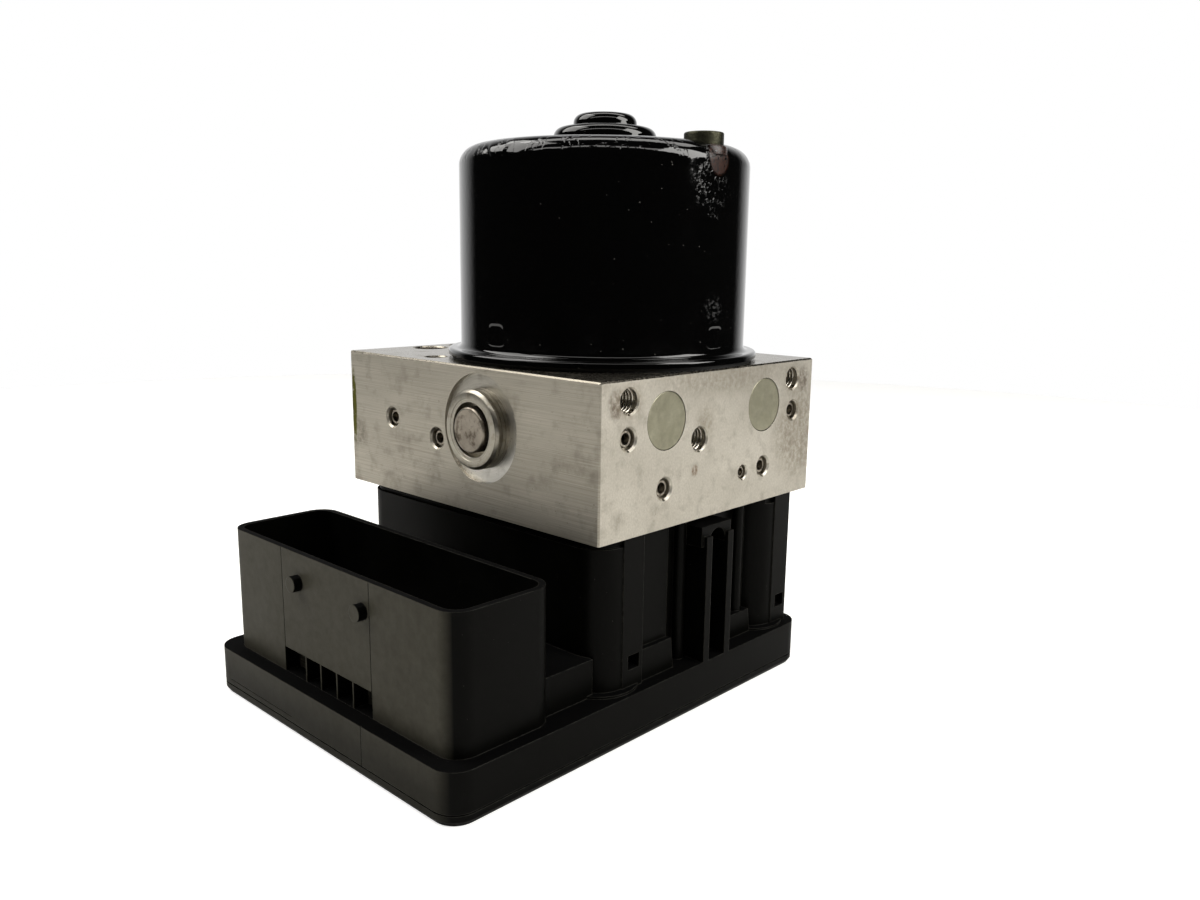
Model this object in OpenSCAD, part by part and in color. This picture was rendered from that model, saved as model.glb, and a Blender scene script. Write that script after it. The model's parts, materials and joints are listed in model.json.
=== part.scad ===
// Hydraulic unit of an anti-lock brake system: pump motor, valve block and control unit.
// X runs to the side with the fixing threads, Y to the back, Z up; the origin is the middle of the cover's underside.

/* [Valve block] */
// Width of the block from side to side
block_w = 100; // [98:1:120]
// Depth of the block from front to back
block_d = 88; // [86:1:104]
// Height of the block
block_h = 38; // [36:1:46]
// Size of the bevel on the block's edges
block_edge = 0.4; // [0.2:0.1:1]

/* [Control unit] */
// Height from the cover's underside to the block's underside
ecu_h = 52; // [50:1:64]
// Width of the base
base_w = 103; // [103:1:124]
// Depth of the base
base_d = 131; // [131:1:156]
// How far the base reaches in front of the block
base_front = 44.5; // [44:0.5:52]
// Corner radius of the base
base_r = 6.2; // [4:0.2:8]
// Height of the deck's top above the cover's underside
deck_z = 12.6; // [12:0.2:14]
// Thickness of the deck
deck_t = 2.2; // [1.8:0.2:3]
// Wall thickness of the skirt
skirt_wall = 2.2; // [1.8:0.2:3]
// Thickness of the cover's edge
cover_t = 2.6; // [2:0.2:3]
// Width of the groove between cover and skirt
cover_gap = 0.3; // [0.2:0.1:0.5]

/* [Plug shroud] */
// Outer width of the shroud
socket_w = 95.5; // [90:0.5:96]
// Outer depth of the shroud
socket_d = 29.2; // [28:0.2:30]
// Height of the shroud's rim above the cover's underside
socket_z = 45.5; // [42:0.5:46]
// Wall thickness of the shroud
socket_wall = 1.6; // [1.2:0.1:2]
// Distance from the skirt's front to the shroud's front
socket_in = 4.1; // [3:0.1:4.5]
// Signal pins in one row
pin_columns = 14; // [8:1:14]

/* [Motor] */
// Outer radius of the can
can_r = 39.4; // [38:0.2:40]
// Height of the can above the block
can_h = 56; // [55:0.5:66]
// Sheet thickness of the can
can_wall = 1.6; // [1.2:0.1:2]
// How far the foot flange stands out round the can
flange_out = 3.5; // [2.8:0.1:4]
// Radius of the can's shoulder
shoulder_r = 5; // [3:0.5:6]
// Radius of the lower bearing boss
boss_r = 14; // [13:0.2:15]
// Height of the lower bearing boss
boss_h = 5.6; // [4:0.2:6]
// Radius of the upper bearing boss
nose_r = 8.6; // [8.4:0.1:9]
// Height of the upper bearing boss
nose_h = 3.6; // [3.2:0.2:5]
// Radius of the metal stub on the shoulder
stub_r = 5; // [4:0.2:5.4]

/* [Pump] */
// Throw of the eccentric
throw = 1; // [0.6:0.1:1.2]
// Radius of a pump piston
piston_r = 4; // [3.4:0.1:4.2]
// Radius of the plug's neck
plug_r = 9.5; // [9.2:0.1:10]
// How far the plug's neck stands out of the block
plug_out = 3; // [2:0.2:4]
// Radius of the spot face round the plug
spot_r = 14.1; // [12.5:0.1:14.4]
// Radius of a reservoir's bore
accu_r = 6.6; // [6:0.1:6.8]
// Stroke of a reservoir's piston
accu_stroke = 10; // [6:1:12]

/* [Valves] */
// Distance between valves from side to side
valve_px = 21; // [20:0.5:21.4]
// Distance between valves from front to back
valve_py = 21.5; // [20:0.5:22]
// Outer radius of a valve tube
tube_r = 5; // [4.6:0.1:5.1]
// Outer radius of a coil's yoke
yoke_r = 9; // [8.4:0.1:9.2]

/* [Fixings] */
// Radius of the fixing threads
fix_r = 3; // [2.5:0.1:3.2]
// Radius of the wheel ports
port_r = 5; // [4.4:0.1:5.2]
// Radius of the inlet ports
inlet_r = 6; // [5.4:0.1:6]

/* [Hidden] */
$fn = 48;
front_y = -base_d / 2 + base_front;
back_y = front_y + block_d;
mid_y = front_y + block_d / 2;
top_z = ecu_h + block_h;
mot_x = 8;
mot_y = mid_y + 1;
pump_z = ecu_h + 22.3;
slide_fit = 0.03;
press_gap = 0.04;

// Places on the block, measured from its corner at the front, right and bottom
right_x = block_w / 2;
fixings = [[mid_y - 34.1, ecu_h + 32.9], [mid_y - 7.4, ecu_h + 20.8], [mid_y + 34.1, ecu_h + 32.9]];
side_balls = [
    [mid_y - 34.3, ecu_h + 24, 1], [mid_y - 20.8, ecu_h + 10.1, 1],
    [mid_y + 11.8, ecu_h + 9.4, 0.72], [mid_y + 21.3, ecu_h + 9.8, 1], [mid_y + 34.9, ecu_h + 23.9, 1]
];
front_balls = [[-29.7, ecu_h + 20.8, 1], [-9.7, ecu_h + 17.5, 1]];
accus = [[mid_y - 20.5, ecu_h + 26.9], [mid_y + 20.7, ecu_h + 26.8]];
ports = [for (i = [0:3]) [-block_w / 2 + 7.5, mid_y - 20.9 + 13.5 * i]];
inlets = [[-block_w / 2 + 7.5, mid_y + 35.6], [-block_w / 2 + 21.5, mid_y + 35.6]];
top_thread = [-19.5, front_y + 7.7];

port_depth = 13;
inlet_depth = 14;
fix_depth = 14;
ball_r = 2.18;
ball_mouth = 2.6;
ball_drill = 1.5;
ball_in = 1.42;
sleeve_top = 1.1;
cap_r = accu_r + 0.65;
cap_t = 3;

// Motor, heights above the block's top
gasket_t = 1;
flange_t = 2.4;
shaft_r = 5;
journal_r = 4;
core_z = top_z + 20;
core_h = 26;
comm_r = 12.5;
comm_z = top_z + 6;
comm_h = 10;
bearing_r = 13;
bearing_t = 8;
ball_ring_r = 9;
bearing_ball = 2.38;
can_in = can_r - can_wall;
flange_r = can_r + flange_out;
stub_x = can_r - 5.6;
stub_up = 2.4;
core_r = can_in - 9.8;
brush_l = 10.5;
guide_end = can_in - 5.8;
screw_r = 2;

// Pump, distances from the motor's axis
cam_r = shaft_r + throw + 0.2;
cam_h = 9.2;
needle_r = 0.78;
needle_path = cam_r + 0.05 + needle_r;
ring_in = needle_path + needle_r + 0.05;
ring_r = cam_r + 3.8;
chamber_r = ring_r + throw + 1.5;
chamber_z = pump_z - cam_h / 2 - 2.6;
tip_at = ring_r + throw + 0.15;
piston_l = 16.8;
sleeve_in = chamber_r + 0.5;
sleeve_end = sleeve_in + 21;
sleeve_r = piston_r + 2.45;
sleeve_bore = sleeve_r + 0.05;
plug_in_r = 9;
face_front = mot_y - front_y;
face_back = back_y - mot_y;
spot_deep = 1.2;

// Reservoirs
accu_end = 20;
accu_piston_l = 8;
accu_floor = 2.2;
accu_rest = 0.1;

// Valves and coils
valve_y = mid_y - 1;
valve_at = [for (j = [0:2]) for (i = [0:3]) [(i - 1.5) * valve_px, valve_y + (j - 1) * valve_py]];
motor_screws = [[-valve_px, valve_y - valve_py / 2], [valve_px, valve_y + valve_py + 13], [valve_px, valve_y - valve_py - 9]];
pocket_r = tube_r + 0.5;
pocket_h = 13;
tube_in = tube_r - 0.6;
plunger_r = tube_in - 0.05;
coil_z = ecu_h - 25;
coil_h = 20;
yoke_t = 1.4;

// Housing
board_t = 1.6;
board_top = deck_z - deck_t;
skirt_z = cover_t + cover_gap;
riser_w = 96;
riser_front = front_y + 2.8;
tower_r = 8;
tower_x = riser_w / 2 - tower_r;
tower_front = riser_front + tower_r;
tower_back = tower_front + 64.2;
riser_back = tower_back + tower_r;
riser_d = riser_back - riser_front;
riser_y = (riser_front + riser_back) / 2;
seal_t = 0.8;
riser_top = ecu_h - seal_t;
bay_x = 43;
rib_t = 2.3;
bay_front = tower_front + 7.2;
bay_back = tower_back - sqrt(tower_r * tower_r - (bay_x - tower_x) * (bay_x - tower_x));
wall = 1.7;
towers = [for (sx = [-1, 1]) for (ty = [tower_front, tower_back]) [sx * tower_x, ty]];
socket_y = -base_d / 2 + socket_in + socket_d / 2;
socket_back = socket_y + socket_d / 2;
floor_z = deck_z + 9.6;
pin_block_w = 84;
pin_block_d = 14;
pin_top = floor_z + 11;
pins_at = [-valve_px, valve_y + valve_py / 2];

// Points of a rectangle with round corners
function round_rect(w, d, r, n = 8) = [
    for (q = [0:3]) for (i = [0:n]) let (a = q * 90 + i * 90 / n)
    [(q == 0 || q == 3 ? 1 : -1) * (w / 2 - r) + r * cos(a), (q < 2 ? 1 : -1) * (d / 2 - r) + r * sin(a)]
];

// Points of an arc in a profile
function arc(cx, cy, r, a0, a1, n = 6) = [for (i = [0:n]) let (a = a0 + (a1 - a0) * i / n) [cx + r * cos(a), cy + r * sin(a)]];

module round_box(w, d, z0, z1, r) {
    translate([0, 0, z0]) linear_extrude(height = z1 - z0) polygon(round_rect(w, d, r));
}

// Turns a shape that points up so that it points to the front or the back from the motor's axis
module pump_side(s) {
    translate([mot_x, mot_y, pump_z]) rotate([s > 0 ? -90 : 90, 0, 0]) children();
}

// Turns a shape that points up so that it points into the block from its right face
module from_right(y, z) {
    translate([right_x, y, z]) rotate([0, -90, 0]) children();
}

module from_front(x, z) {
    translate([x, front_y, z]) rotate([-90, 0, 0]) children();
}

// A round wire wound into an open coil along Z
module coil_spring(mean_r, wire_r, z0, z1, turns, steps, sides) {
    n = turns * steps;
    points = [
        for (i = [0:n]) for (j = [0:sides - 1])
        let (a = 360 * i / steps, b = 360 * j / sides, r = mean_r + wire_r * cos(b))
        [r * cos(a), r * sin(a), z0 + wire_r + (z1 - z0 - 2 * wire_r) * i / n + wire_r * sin(b)]
    ];
    skin = [
        for (i = [0:n - 1]) for (j = [0:sides - 1])
        let (k = (j + 1) % sides, a = i * sides, b = a + sides)
        each [[a + j, b + j, b + k], [a + j, b + k, a + k]]
    ];
    caps = [[for (j = [0:sides - 1]) j], [for (j = [sides - 1:-1:0]) n * sides + j]];
    polyhedron(points, concat(skin, caps));
}

// Bore with a drill point and a bevelled mouth, pointing up from z = 0 into the material
module tapped(r, depth, mouth) {
    translate([0, 0, -1]) cylinder(h = depth + 1, r = r);
    translate([0, 0, depth - 0.01]) cylinder(h = r * 0.577, r1 = r, r2 = 0.05);
    translate([0, 0, -0.01]) cylinder(h = mouth, r1 = r + mouth, r2 = r);
}

module ball_seat(k) {
    translate([0, 0, -1]) cylinder(h = 1 + 2.2 * k, r = ball_mouth * k);
    translate([0, 0, -0.01]) cylinder(h = 0.5 * k, r1 = (ball_mouth + 0.5) * k, r2 = ball_mouth * k);
    cylinder(h = 5.6 * k, r = (ball_r + 0.02) * k);
    cylinder(h = 20, r = ball_drill * k);
}

module pump_bore(face) {
    translate([0, 0, sleeve_in - 4]) cylinder(h = face - sleeve_in + 5, r = sleeve_bore);
    translate([0, 0, sleeve_end + 0.2]) cylinder(h = face - sleeve_end, r = plug_in_r);
    translate([0, 0, face - spot_deep]) cylinder(h = spot_deep + 1, r = spot_r);
}

module valve_block() {
    color("silver")
    difference() {
        translate([-block_w / 2, front_y, ecu_h]) cube([block_w, block_d, block_h]);
        for (s = [-1, 1]) {
            translate([s * block_w / 2, mid_y, top_z]) rotate([0, 45, 0]) cube([block_edge * 1.4, block_d + 2, block_edge * 1.4], center = true);
            translate([0, mid_y + s * block_d / 2, top_z]) rotate([45, 0, 0]) cube([block_w + 2, block_edge * 1.4, block_edge * 1.4], center = true);
            translate([s * block_w / 2, front_y, ecu_h + block_h / 2]) rotate([0, 0, 45]) cube([block_edge * 1.4, block_edge * 1.4, block_h + 2], center = true);
        }
        for (p = fixings) from_right(p[0], p[1]) tapped(fix_r, fix_depth, 0.4);
        for (p = side_balls) from_right(p[0], p[1]) ball_seat(p[2]);
        for (p = front_balls) from_front(p[0], p[1]) ball_seat(p[2]);
        for (p = accus) from_right(p[0], p[1]) {
            translate([0, 0, -1]) cylinder(h = cap_t + 1.1, r = cap_r + press_gap);
            cylinder(h = right_x - accu_end, r = accu_r);
        }
        for (p = ports) translate([p[0], p[1], top_z]) mirror([0, 0, 1]) {
            tapped(port_r, port_depth, 0.4);
            cylinder(h = port_depth + 12, r = 1.5);
        }
        for (p = inlets) translate([p[0], p[1], top_z]) mirror([0, 0, 1]) {
            tapped(inlet_r, inlet_depth, 0.4);
            cylinder(h = inlet_depth + 10, r = 2.2);
        }
        translate([top_thread[0], top_thread[1], top_z]) mirror([0, 0, 1]) tapped(fix_r, fix_depth, 0.4);
        // Shaft chamber and bearing seat
        translate([mot_x, mot_y, chamber_z]) cylinder(h = block_h, r = chamber_r);
        translate([mot_x, mot_y, top_z - bearing_t]) cylinder(h = bearing_t + 1, r = bearing_r + press_gap);
        pump_side(-1) pump_bore(face_front);
        pump_side(1) pump_bore(face_back);
        for (p = valve_at) translate([p[0], p[1], ecu_h - 1]) cylinder(h = pocket_h + 1, r = pocket_r);
        // Screw holes and the way for the motor's pins
        for (p = towers) translate([p[0], p[1], ecu_h - 1]) cylinder(h = 13, r = screw_r);
        for (p = motor_screws) translate([p[0], p[1], ecu_h - 1]) {
            cylinder(h = block_h + 2, r = screw_r + 0.2);
            cylinder(h = 5.2, r = 3.8);
        }
        translate([pins_at[0], pins_at[1], ecu_h - 1]) cylinder(h = block_h + 2, r = 4.5);
    }
}

// Half section of the can, from the foot round the outside to the nose and back inside
function can_profile() = let (f = gasket_t + flange_t, b = can_h + boss_h, t = can_h + boss_h + nose_h) concat(
    [[flange_r, gasket_t]],
    arc(flange_r - 0.9, f - 0.9, 0.9, 0, 90, 4),
    arc(can_r + 1.4, f + 1.4, 1.4, 270, 180, 4),
    arc(can_r - shoulder_r, can_h - shoulder_r, shoulder_r, 0, 90, 8),
    arc(boss_r + 0.8, can_h + 0.8, 0.8, 270, 180, 3),
    arc(boss_r - 2.5, b - 2.5, 2.5, 0, 90, 6),
    arc(nose_r + 0.6, b + 0.6, 0.6, 270, 180, 3),
    arc(nose_r - 2.4, t - 2.4, 2.4, 0, 90, 6),
    [[0, t], [0, t - can_wall], [nose_r - can_wall, t - can_wall], [nose_r - can_wall, b - can_wall],
     [boss_r - can_wall, b - can_wall], [boss_r - can_wall, can_h - can_wall]],
    arc(can_r - shoulder_r, can_h - shoulder_r, shoulder_r - can_wall, 90, 0, 6),
    [[can_in, gasket_t]]
);

module motor_can() {
    color("#151517")
    translate([mot_x, mot_y, top_z])
    difference() {
        rotate_extrude($fn = 96) polygon(can_profile());
        translate([stub_x, 0, can_h - 4]) cylinder(h = 12, r = stub_r + press_gap);
        for (a = [0:90:270]) rotate([0, 0, a]) translate([can_r - 0.7, -3.2, gasket_t + flange_t + 2.2]) cube([2, 6.4, 4.4]);
    }
}

module can_stub() {
    color("#7d8078")
    translate([mot_x + stub_x, mot_y, top_z + can_h - 3.9]) {
        cylinder(h = 3.5 + stub_up, r = stub_r);
        translate([0, 0, 3.5 + stub_up]) cylinder(h = 0.4, r1 = stub_r, r2 = stub_r - 0.4);
    }
}

module motor_gasket() {
    color("#202020")
    translate([mot_x, mot_y, top_z])
    rotate_extrude($fn = 96) translate([can_in + 0.2, 0]) square([flange_r - can_in - 1.4, gasket_t]);
}

module motor_end_plate() {
    color("#8b8d90")
    translate([0, 0, top_z])
    difference() {
        translate([mot_x, mot_y, 0]) cylinder(h = 2, r = can_in - 0.3, $fn = 96);
        translate([mot_x, mot_y, -1]) cylinder(h = 4, r = 9.6);
        for (p = motor_screws) translate([p[0], p[1], -1]) cylinder(h = 4, r = screw_r + press_gap);
        translate([pins_at[0], pins_at[1], -1]) cylinder(h = 4, r = 4.7);
    }
}

// Brush plate with its four guides and the sleeve that carries the motor's pins through the block
module brush_plate() {
    color("#2c2c2e")
    difference() {
        union() {
            translate([mot_x, mot_y, top_z + 2]) cylinder(h = 2.4, r = can_in - 0.3, $fn = 96);
            for (a = [0:90:270]) translate([mot_x, mot_y, top_z + 4]) rotate([0, 0, a]) translate([comm_r + 2, -4.6, 0]) cube([guide_end - comm_r - 2, 9.2, 11]);
            translate([pins_at[0], pins_at[1], ecu_h + 0.6]) cylinder(h = block_h + 2, r = 4.4);
        }
        translate([mot_x, mot_y, top_z]) cylinder(h = 6, r = 9.6);
        for (p = motor_screws) translate([p[0], p[1], top_z]) cylinder(h = 6, r = screw_r + 0.6);
        for (a = [0:90:270]) translate([mot_x, mot_y, top_z]) rotate([0, 0, a]) translate([comm_r - 0.5, -3.1, 7]) cube([guide_end - comm_r - 1, 6.2, 5.2]);
        for (s = [-1, 1]) translate([pins_at[0] + s * 1.7 - 0.45, pins_at[1] - 1.35, ecu_h]) cube([0.9, 2.7, block_h + 10]);
    }
}

module brushes() {
    color("#3a3a3c")
    for (a = [0:90:270]) translate([mot_x, mot_y, top_z + 7.1]) rotate([0, 0, a])
    difference() {
        translate([comm_r - 0.5, -3, 0]) cube([brush_l, 6, 5]);
        translate([0, 0, -1]) cylinder(h = 7, r = comm_r + 0.05);
    }
}

module brush_springs() {
    color("#b8b8b0")
    for (a = [0:90:270]) translate([mot_x, mot_y, top_z + 9.6]) rotate([0, 0, a]) rotate([0, 90, 0])
    coil_spring(1.7, 0.3, comm_r + brush_l - 0.4, guide_end - 1.6, 3, 8, 4);
}

module magnets() {
    color("#4a4a4e")
    for (a = [10:90:280]) translate([mot_x, mot_y, core_z - 2]) rotate([0, 0, a])
    rotate_extrude(angle = 70, $fn = 96) translate([core_r + 0.8, 0]) square([can_in - 0.1 - core_r - 0.8, core_h + 4]);
}

module rotor_core() {
    color("#77797c")
    translate([mot_x, mot_y, core_z])
    difference() {
        cylinder(h = core_h, r = core_r, $fn = 96);
        translate([0, 0, -1]) cylinder(h = core_h + 2, r = shaft_r + 0.01);
        for (a = [0:30:330]) rotate([0, 0, a]) {
            translate([core_r - 6.5, 0, -1]) cylinder(h = core_h + 2, r = 3, $fn = 24);
            translate([core_r - 5, -0.8, -1]) cube([7, 1.6, core_h + 2]);
        }
    }
}

module rotor_coils() {
    color("#b5713a")
    translate([mot_x, mot_y, 0]) {
        for (a = [0:30:330]) rotate([0, 0, a]) translate([core_r - 6.5, 0, core_z - 2]) cylinder(h = core_h + 4, r = 2.9, $fn = 24);
        for (z = [core_z - 3.7, core_z + core_h + 0.1]) translate([0, 0, z])
        rotate_extrude($fn = 64) translate([comm_r + 0.5, 0]) square([core_r - comm_r - 3, 3.6]);
    }
}

module commutator() {
    color("#a9683a")
    translate([mot_x, mot_y, comm_z])
    difference() {
        cylinder(h = comm_h, r = comm_r);
        translate([0, 0, -1]) cylinder(h = comm_h + 2, r = shaft_r + 0.01);
        for (a = [0:30:330]) rotate([0, 0, a]) translate([comm_r - 1.2, -0.3, -1]) cube([3, 0.6, comm_h + 2]);
    }
}

// Shaft, with the eccentric that drives the pistons below the bearing
module motor_shaft() {
    color("#c9cacd")
    translate([mot_x, mot_y, 0]) {
        translate([0, 0, pump_z - cam_h / 2 - 1.6]) cylinder(h = 2, r = journal_r);
        translate([throw, 0, pump_z - cam_h / 2]) cylinder(h = cam_h, r = cam_r);
        translate([0, 0, pump_z + cam_h / 2 - 0.5]) cylinder(h = top_z + can_h - pump_z - cam_h / 2 - 1.5, r = shaft_r);
        translate([0, 0, top_z + can_h - 3]) cylinder(h = boss_h + nose_h + 0.6, r = journal_r);
    }
}

module top_bushing() {
    color("#b08d4a")
    translate([mot_x, mot_y, top_z + can_h + boss_h - can_wall - 1])
    difference() {
        cylinder(h = nose_h + 0.6, r = nose_r - can_wall - press_gap);
        translate([0, 0, -1]) cylinder(h = nose_h + 3, r = journal_r + slide_fit);
    }
}

module bearing_ring(r0, r1) {
    translate([mot_x, mot_y, top_z - bearing_t])
    difference() {
        cylinder(h = bearing_t, r = r1);
        translate([0, 0, -1]) cylinder(h = bearing_t + 2, r = r0);
        translate([0, 0, bearing_t / 2]) rotate_extrude() translate([ball_ring_r, 0]) circle(r = bearing_ball + 0.05, $fn = 32);
    }
}

module bearing_outer() {
    color("#b9bbbe") bearing_ring(ball_ring_r + 1.5, bearing_r);
}

module bearing_inner() {
    color("#b9bbbe") bearing_ring(shaft_r + 0.01, ball_ring_r - 1.5);
}

module bearing_balls() {
    color("#d5d6d8")
    for (a = [0:45:315]) translate([mot_x + ball_ring_r * cos(a), mot_y + ball_ring_r * sin(a), top_z - bearing_t / 2]) sphere(r = bearing_ball, $fn = 32);
}

module eccentric_ring() {
    color("#c2c3c6")
    translate([mot_x + throw, mot_y, pump_z - cam_h / 2 + 0.4])
    difference() {
        cylinder(h = cam_h - 0.8, r = ring_r);
        translate([0, 0, -1]) cylinder(h = cam_h + 2, r = ring_in);
    }
}

module eccentric_needles() {
    color("#d5d6d8")
    for (i = [0:15]) translate([mot_x + throw + needle_path * cos(i * 22.5), mot_y + needle_path * sin(i * 22.5), pump_z - cam_h / 2 + 0.8])
    cylinder(h = cam_h - 1.6, r = needle_r, $fn = 24);
}

module pump_piston() {
    color("#c9cacd") {
        translate([0, 0, tip_at + 0.5]) cylinder(h = piston_l - 0.5, r = piston_r);
        translate([0, 0, tip_at]) cylinder(h = 0.5, r1 = piston_r - 0.5, r2 = piston_r);
    }
}

module pump_piston_front() {
    pump_side(-1) pump_piston();
}

module pump_piston_back() {
    pump_side(1) pump_piston();
}

module pump_springs() {
    color("#b8b8b0")
    for (s = [-1, 1]) pump_side(s) coil_spring(piston_r - 0.9, 0.4, tip_at + piston_l + 0.1, sleeve_end - 1.3, 3, 10, 5);
}

module pump_cylinders() {
    color("#9fa1a5")
    for (s = [-1, 1]) pump_side(s)
    difference() {
        translate([0, 0, sleeve_in]) cylinder(h = sleeve_end - sleeve_in, r = sleeve_r);
        translate([0, 0, sleeve_in - 1]) cylinder(h = sleeve_end - sleeve_in - 0.2, r = piston_r + slide_fit);
        translate([0, 0, sleeve_end - 2]) cylinder(h = 3, r = 1.2);
    }
}

module outlet_balls() {
    color("#d5d6d8")
    for (s = [-1, 1]) pump_side(s) translate([0, 0, sleeve_end + 1.65]) sphere(r = 2, $fn = 32);
}

// Plug collar: a flange on the spot face, a neck that stands out and a body inside the block
module plug_collar(face) {
    inside = face - sleeve_end - 0.2;
    translate([0, 0, face])
    rotate_extrude($fn = 64) polygon([
        [5.9, -inside + 0.1], [plug_in_r - press_gap, -inside + 0.1], [plug_in_r - press_gap, -spot_deep], [plug_r + 1.5, -spot_deep],
        [plug_r + 1.5, -0.3], [plug_r + 1.2, 0], [plug_r + 0.1, 0], [plug_r + 0.1, 0.9], [plug_r - 0.35, 1.1], [plug_r - 0.35, 1.4],
        [plug_r, 1.6], [plug_r, plug_out - 0.5], [plug_r - 0.4, plug_out], [7, plug_out], [7, -0.6], [5.9, -0.6]
    ]);
}

module pump_plugs() {
    color("#b4b2ab") {
        pump_side(-1) plug_collar(face_front);
        pump_side(1) plug_collar(face_back);
    }
}

module plug_cap(face) {
    difference() {
        union() {
            translate([0, 0, sleeve_end + 0.1]) cylinder(h = face - sleeve_end + plug_out + 0.2, r = 5.86);
            translate([0, 0, face + plug_out + 0.3]) cylinder(h = 0.4, r1 = 5.86, r2 = 5.5);
        }
        translate([0, 0, sleeve_end - 1]) cylinder(h = 6, r = 2.4);
    }
}

module pump_caps() {
    color("#a9a59c") {
        pump_side(-1) plug_cap(face_front);
        pump_side(1) plug_cap(face_back);
    }
}

module accu_piston(p) {
    color("#9a9ca0")
    from_right(p[0], p[1]) translate([0, 0, right_x - accu_end - accu_rest - accu_piston_l])
    difference() {
        cylinder(h = accu_piston_l, r = accu_r - slide_fit);
        translate([0, 0, -1]) cylinder(h = accu_piston_l - accu_floor + 1, r = accu_r - 1.4);
    }
}

module accu_piston_front() {
    accu_piston(accus[0]);
}

module accu_piston_back() {
    accu_piston(accus[1]);
}

module accu_springs() {
    color("#b8b8b0")
    for (p = accus) from_right(p[0], p[1]) coil_spring(accu_r - 2.2, 0.6, cap_t + 0.1, right_x - accu_end - accu_rest - accu_floor - 0.1, 6, 10, 5);
}

module accu_caps() {
    color("#a7aba2")
    for (p = accus) from_right(p[0], p[1]) cylinder(h = cap_t, r = cap_r);
}

// Steel ball pressed into a sleeve that closes the end of a drilling
module ball_plugs() {
    color("#33312e") {
        for (p = side_balls) from_right(p[0], p[1]) translate([0, 0, 3.9 * p[2]]) sphere(r = ball_in * p[2], $fn = 32);
        for (p = front_balls) from_front(p[0], p[1]) translate([0, 0, 3.9 * p[2]]) sphere(r = ball_in * p[2], $fn = 32);
    }
}

module plug_sleeve(k) {
    rotate_extrude($fn = 32) polygon([
        [ball_in * k + 0.02, sleeve_top * k], [(ball_r - 0.25) * k, sleeve_top * k], [ball_r * k, (sleeve_top + 0.35) * k],
        [ball_r * k, 5.5 * k], [ball_in * k + 0.02, 5.5 * k]
    ]);
}

module plug_sleeves() {
    color("#6b6862") {
        for (p = side_balls) from_right(p[0], p[1]) plug_sleeve(p[2]);
        for (p = front_balls) from_front(p[0], p[1]) plug_sleeve(p[2]);
    }
}

// Closed steel tube of a valve, with the collar that is pressed into the block
module valve_tubes() {
    color("#b9bbbe")
    for (p = valve_at) translate([p[0], p[1], 0])
    rotate_extrude() polygon([
        [0, coil_z - 1], [tube_r - 0.6, coil_z - 1], [tube_r, coil_z - 0.4], [tube_r, ecu_h], [pocket_r - press_gap, ecu_h],
        [pocket_r - press_gap, ecu_h + 4], [tube_in, ecu_h + 4], [tube_in, coil_z - 0.4], [0, coil_z - 0.4]
    ]);
}

module valve_seats() {
    color("#c2c3c6")
    for (p = valve_at) translate([p[0], p[1], 0])
    rotate_extrude() polygon([
        [3.2, ecu_h - 4], [tube_in - 0.05, ecu_h - 4], [tube_in - 0.05, ecu_h + 4], [pocket_r - press_gap, ecu_h + 4],
        [pocket_r - press_gap, ecu_h + pocket_h - 0.6], [1, ecu_h + pocket_h - 0.6], [1, ecu_h + 4.6], [1.5, ecu_h + 4],
        [1.5, ecu_h], [3.2, ecu_h]
    ]);
}

module valve_springs() {
    color("#b8b8b0")
    for (p = valve_at) translate([p[0], p[1], 0]) coil_spring(2.2, 0.3, ecu_h - 4.3, ecu_h - 0.1, 3, 8, 4);
}

module valve_plunger(i) {
    p = valve_at[i - 1];
    color("#9fa1a5")
    translate([p[0], p[1], 0]) {
        translate([0, 0, coil_z - 0.3]) cylinder(h = 20.6, r = plunger_r);
        translate([0, 0, coil_z + 20]) cylinder(h = 8.6, r = 1.2);
    }
}

// Winding on its spool, with the two legs that reach the circuit board
module valve_coils() {
    color("#a8642c")
    for (p = valve_at) translate([p[0], p[1], 0]) {
        translate([0, 0, coil_z])
        difference() {
            cylinder(h = coil_h, r = yoke_r - 0.7);
            translate([0, 0, -1]) cylinder(h = coil_h + 2, r = tube_r + 0.3);
        }
        for (s = [-1, 1]) translate([s * 2.5, -6.4, board_top]) cylinder(h = coil_z - board_top + 1, r = 0.4, $fn = 16);
    }
}

module coil_yokes() {
    color("#6d6f72")
    for (p = valve_at) translate([p[0], p[1], 0])
    difference() {
        translate([0, 0, coil_z - yoke_t - 0.1]) cylinder(h = coil_h + 2 * yoke_t + 0.2, r = yoke_r);
        translate([0, 0, coil_z - 0.1]) cylinder(h = coil_h + 0.2, r = yoke_r - 0.6);
        translate([0, 0, coil_z - 5]) cylinder(h = coil_h + 10, r = tube_r + 0.2);
        translate([-4, -7.6, coil_z - 3]) cube([8, 2, 5]);
    }
}

module circuit_board() {
    color("#1f5b3a")
    difference() {
        round_box(base_w - 2 * skirt_wall - 2.6, base_d - 2 * skirt_wall - 2.6, board_top - board_t, board_top, 3);
        for (p = towers) translate([p[0], p[1], 0]) cylinder(h = 20, r = 4.4);
    }
}

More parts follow.
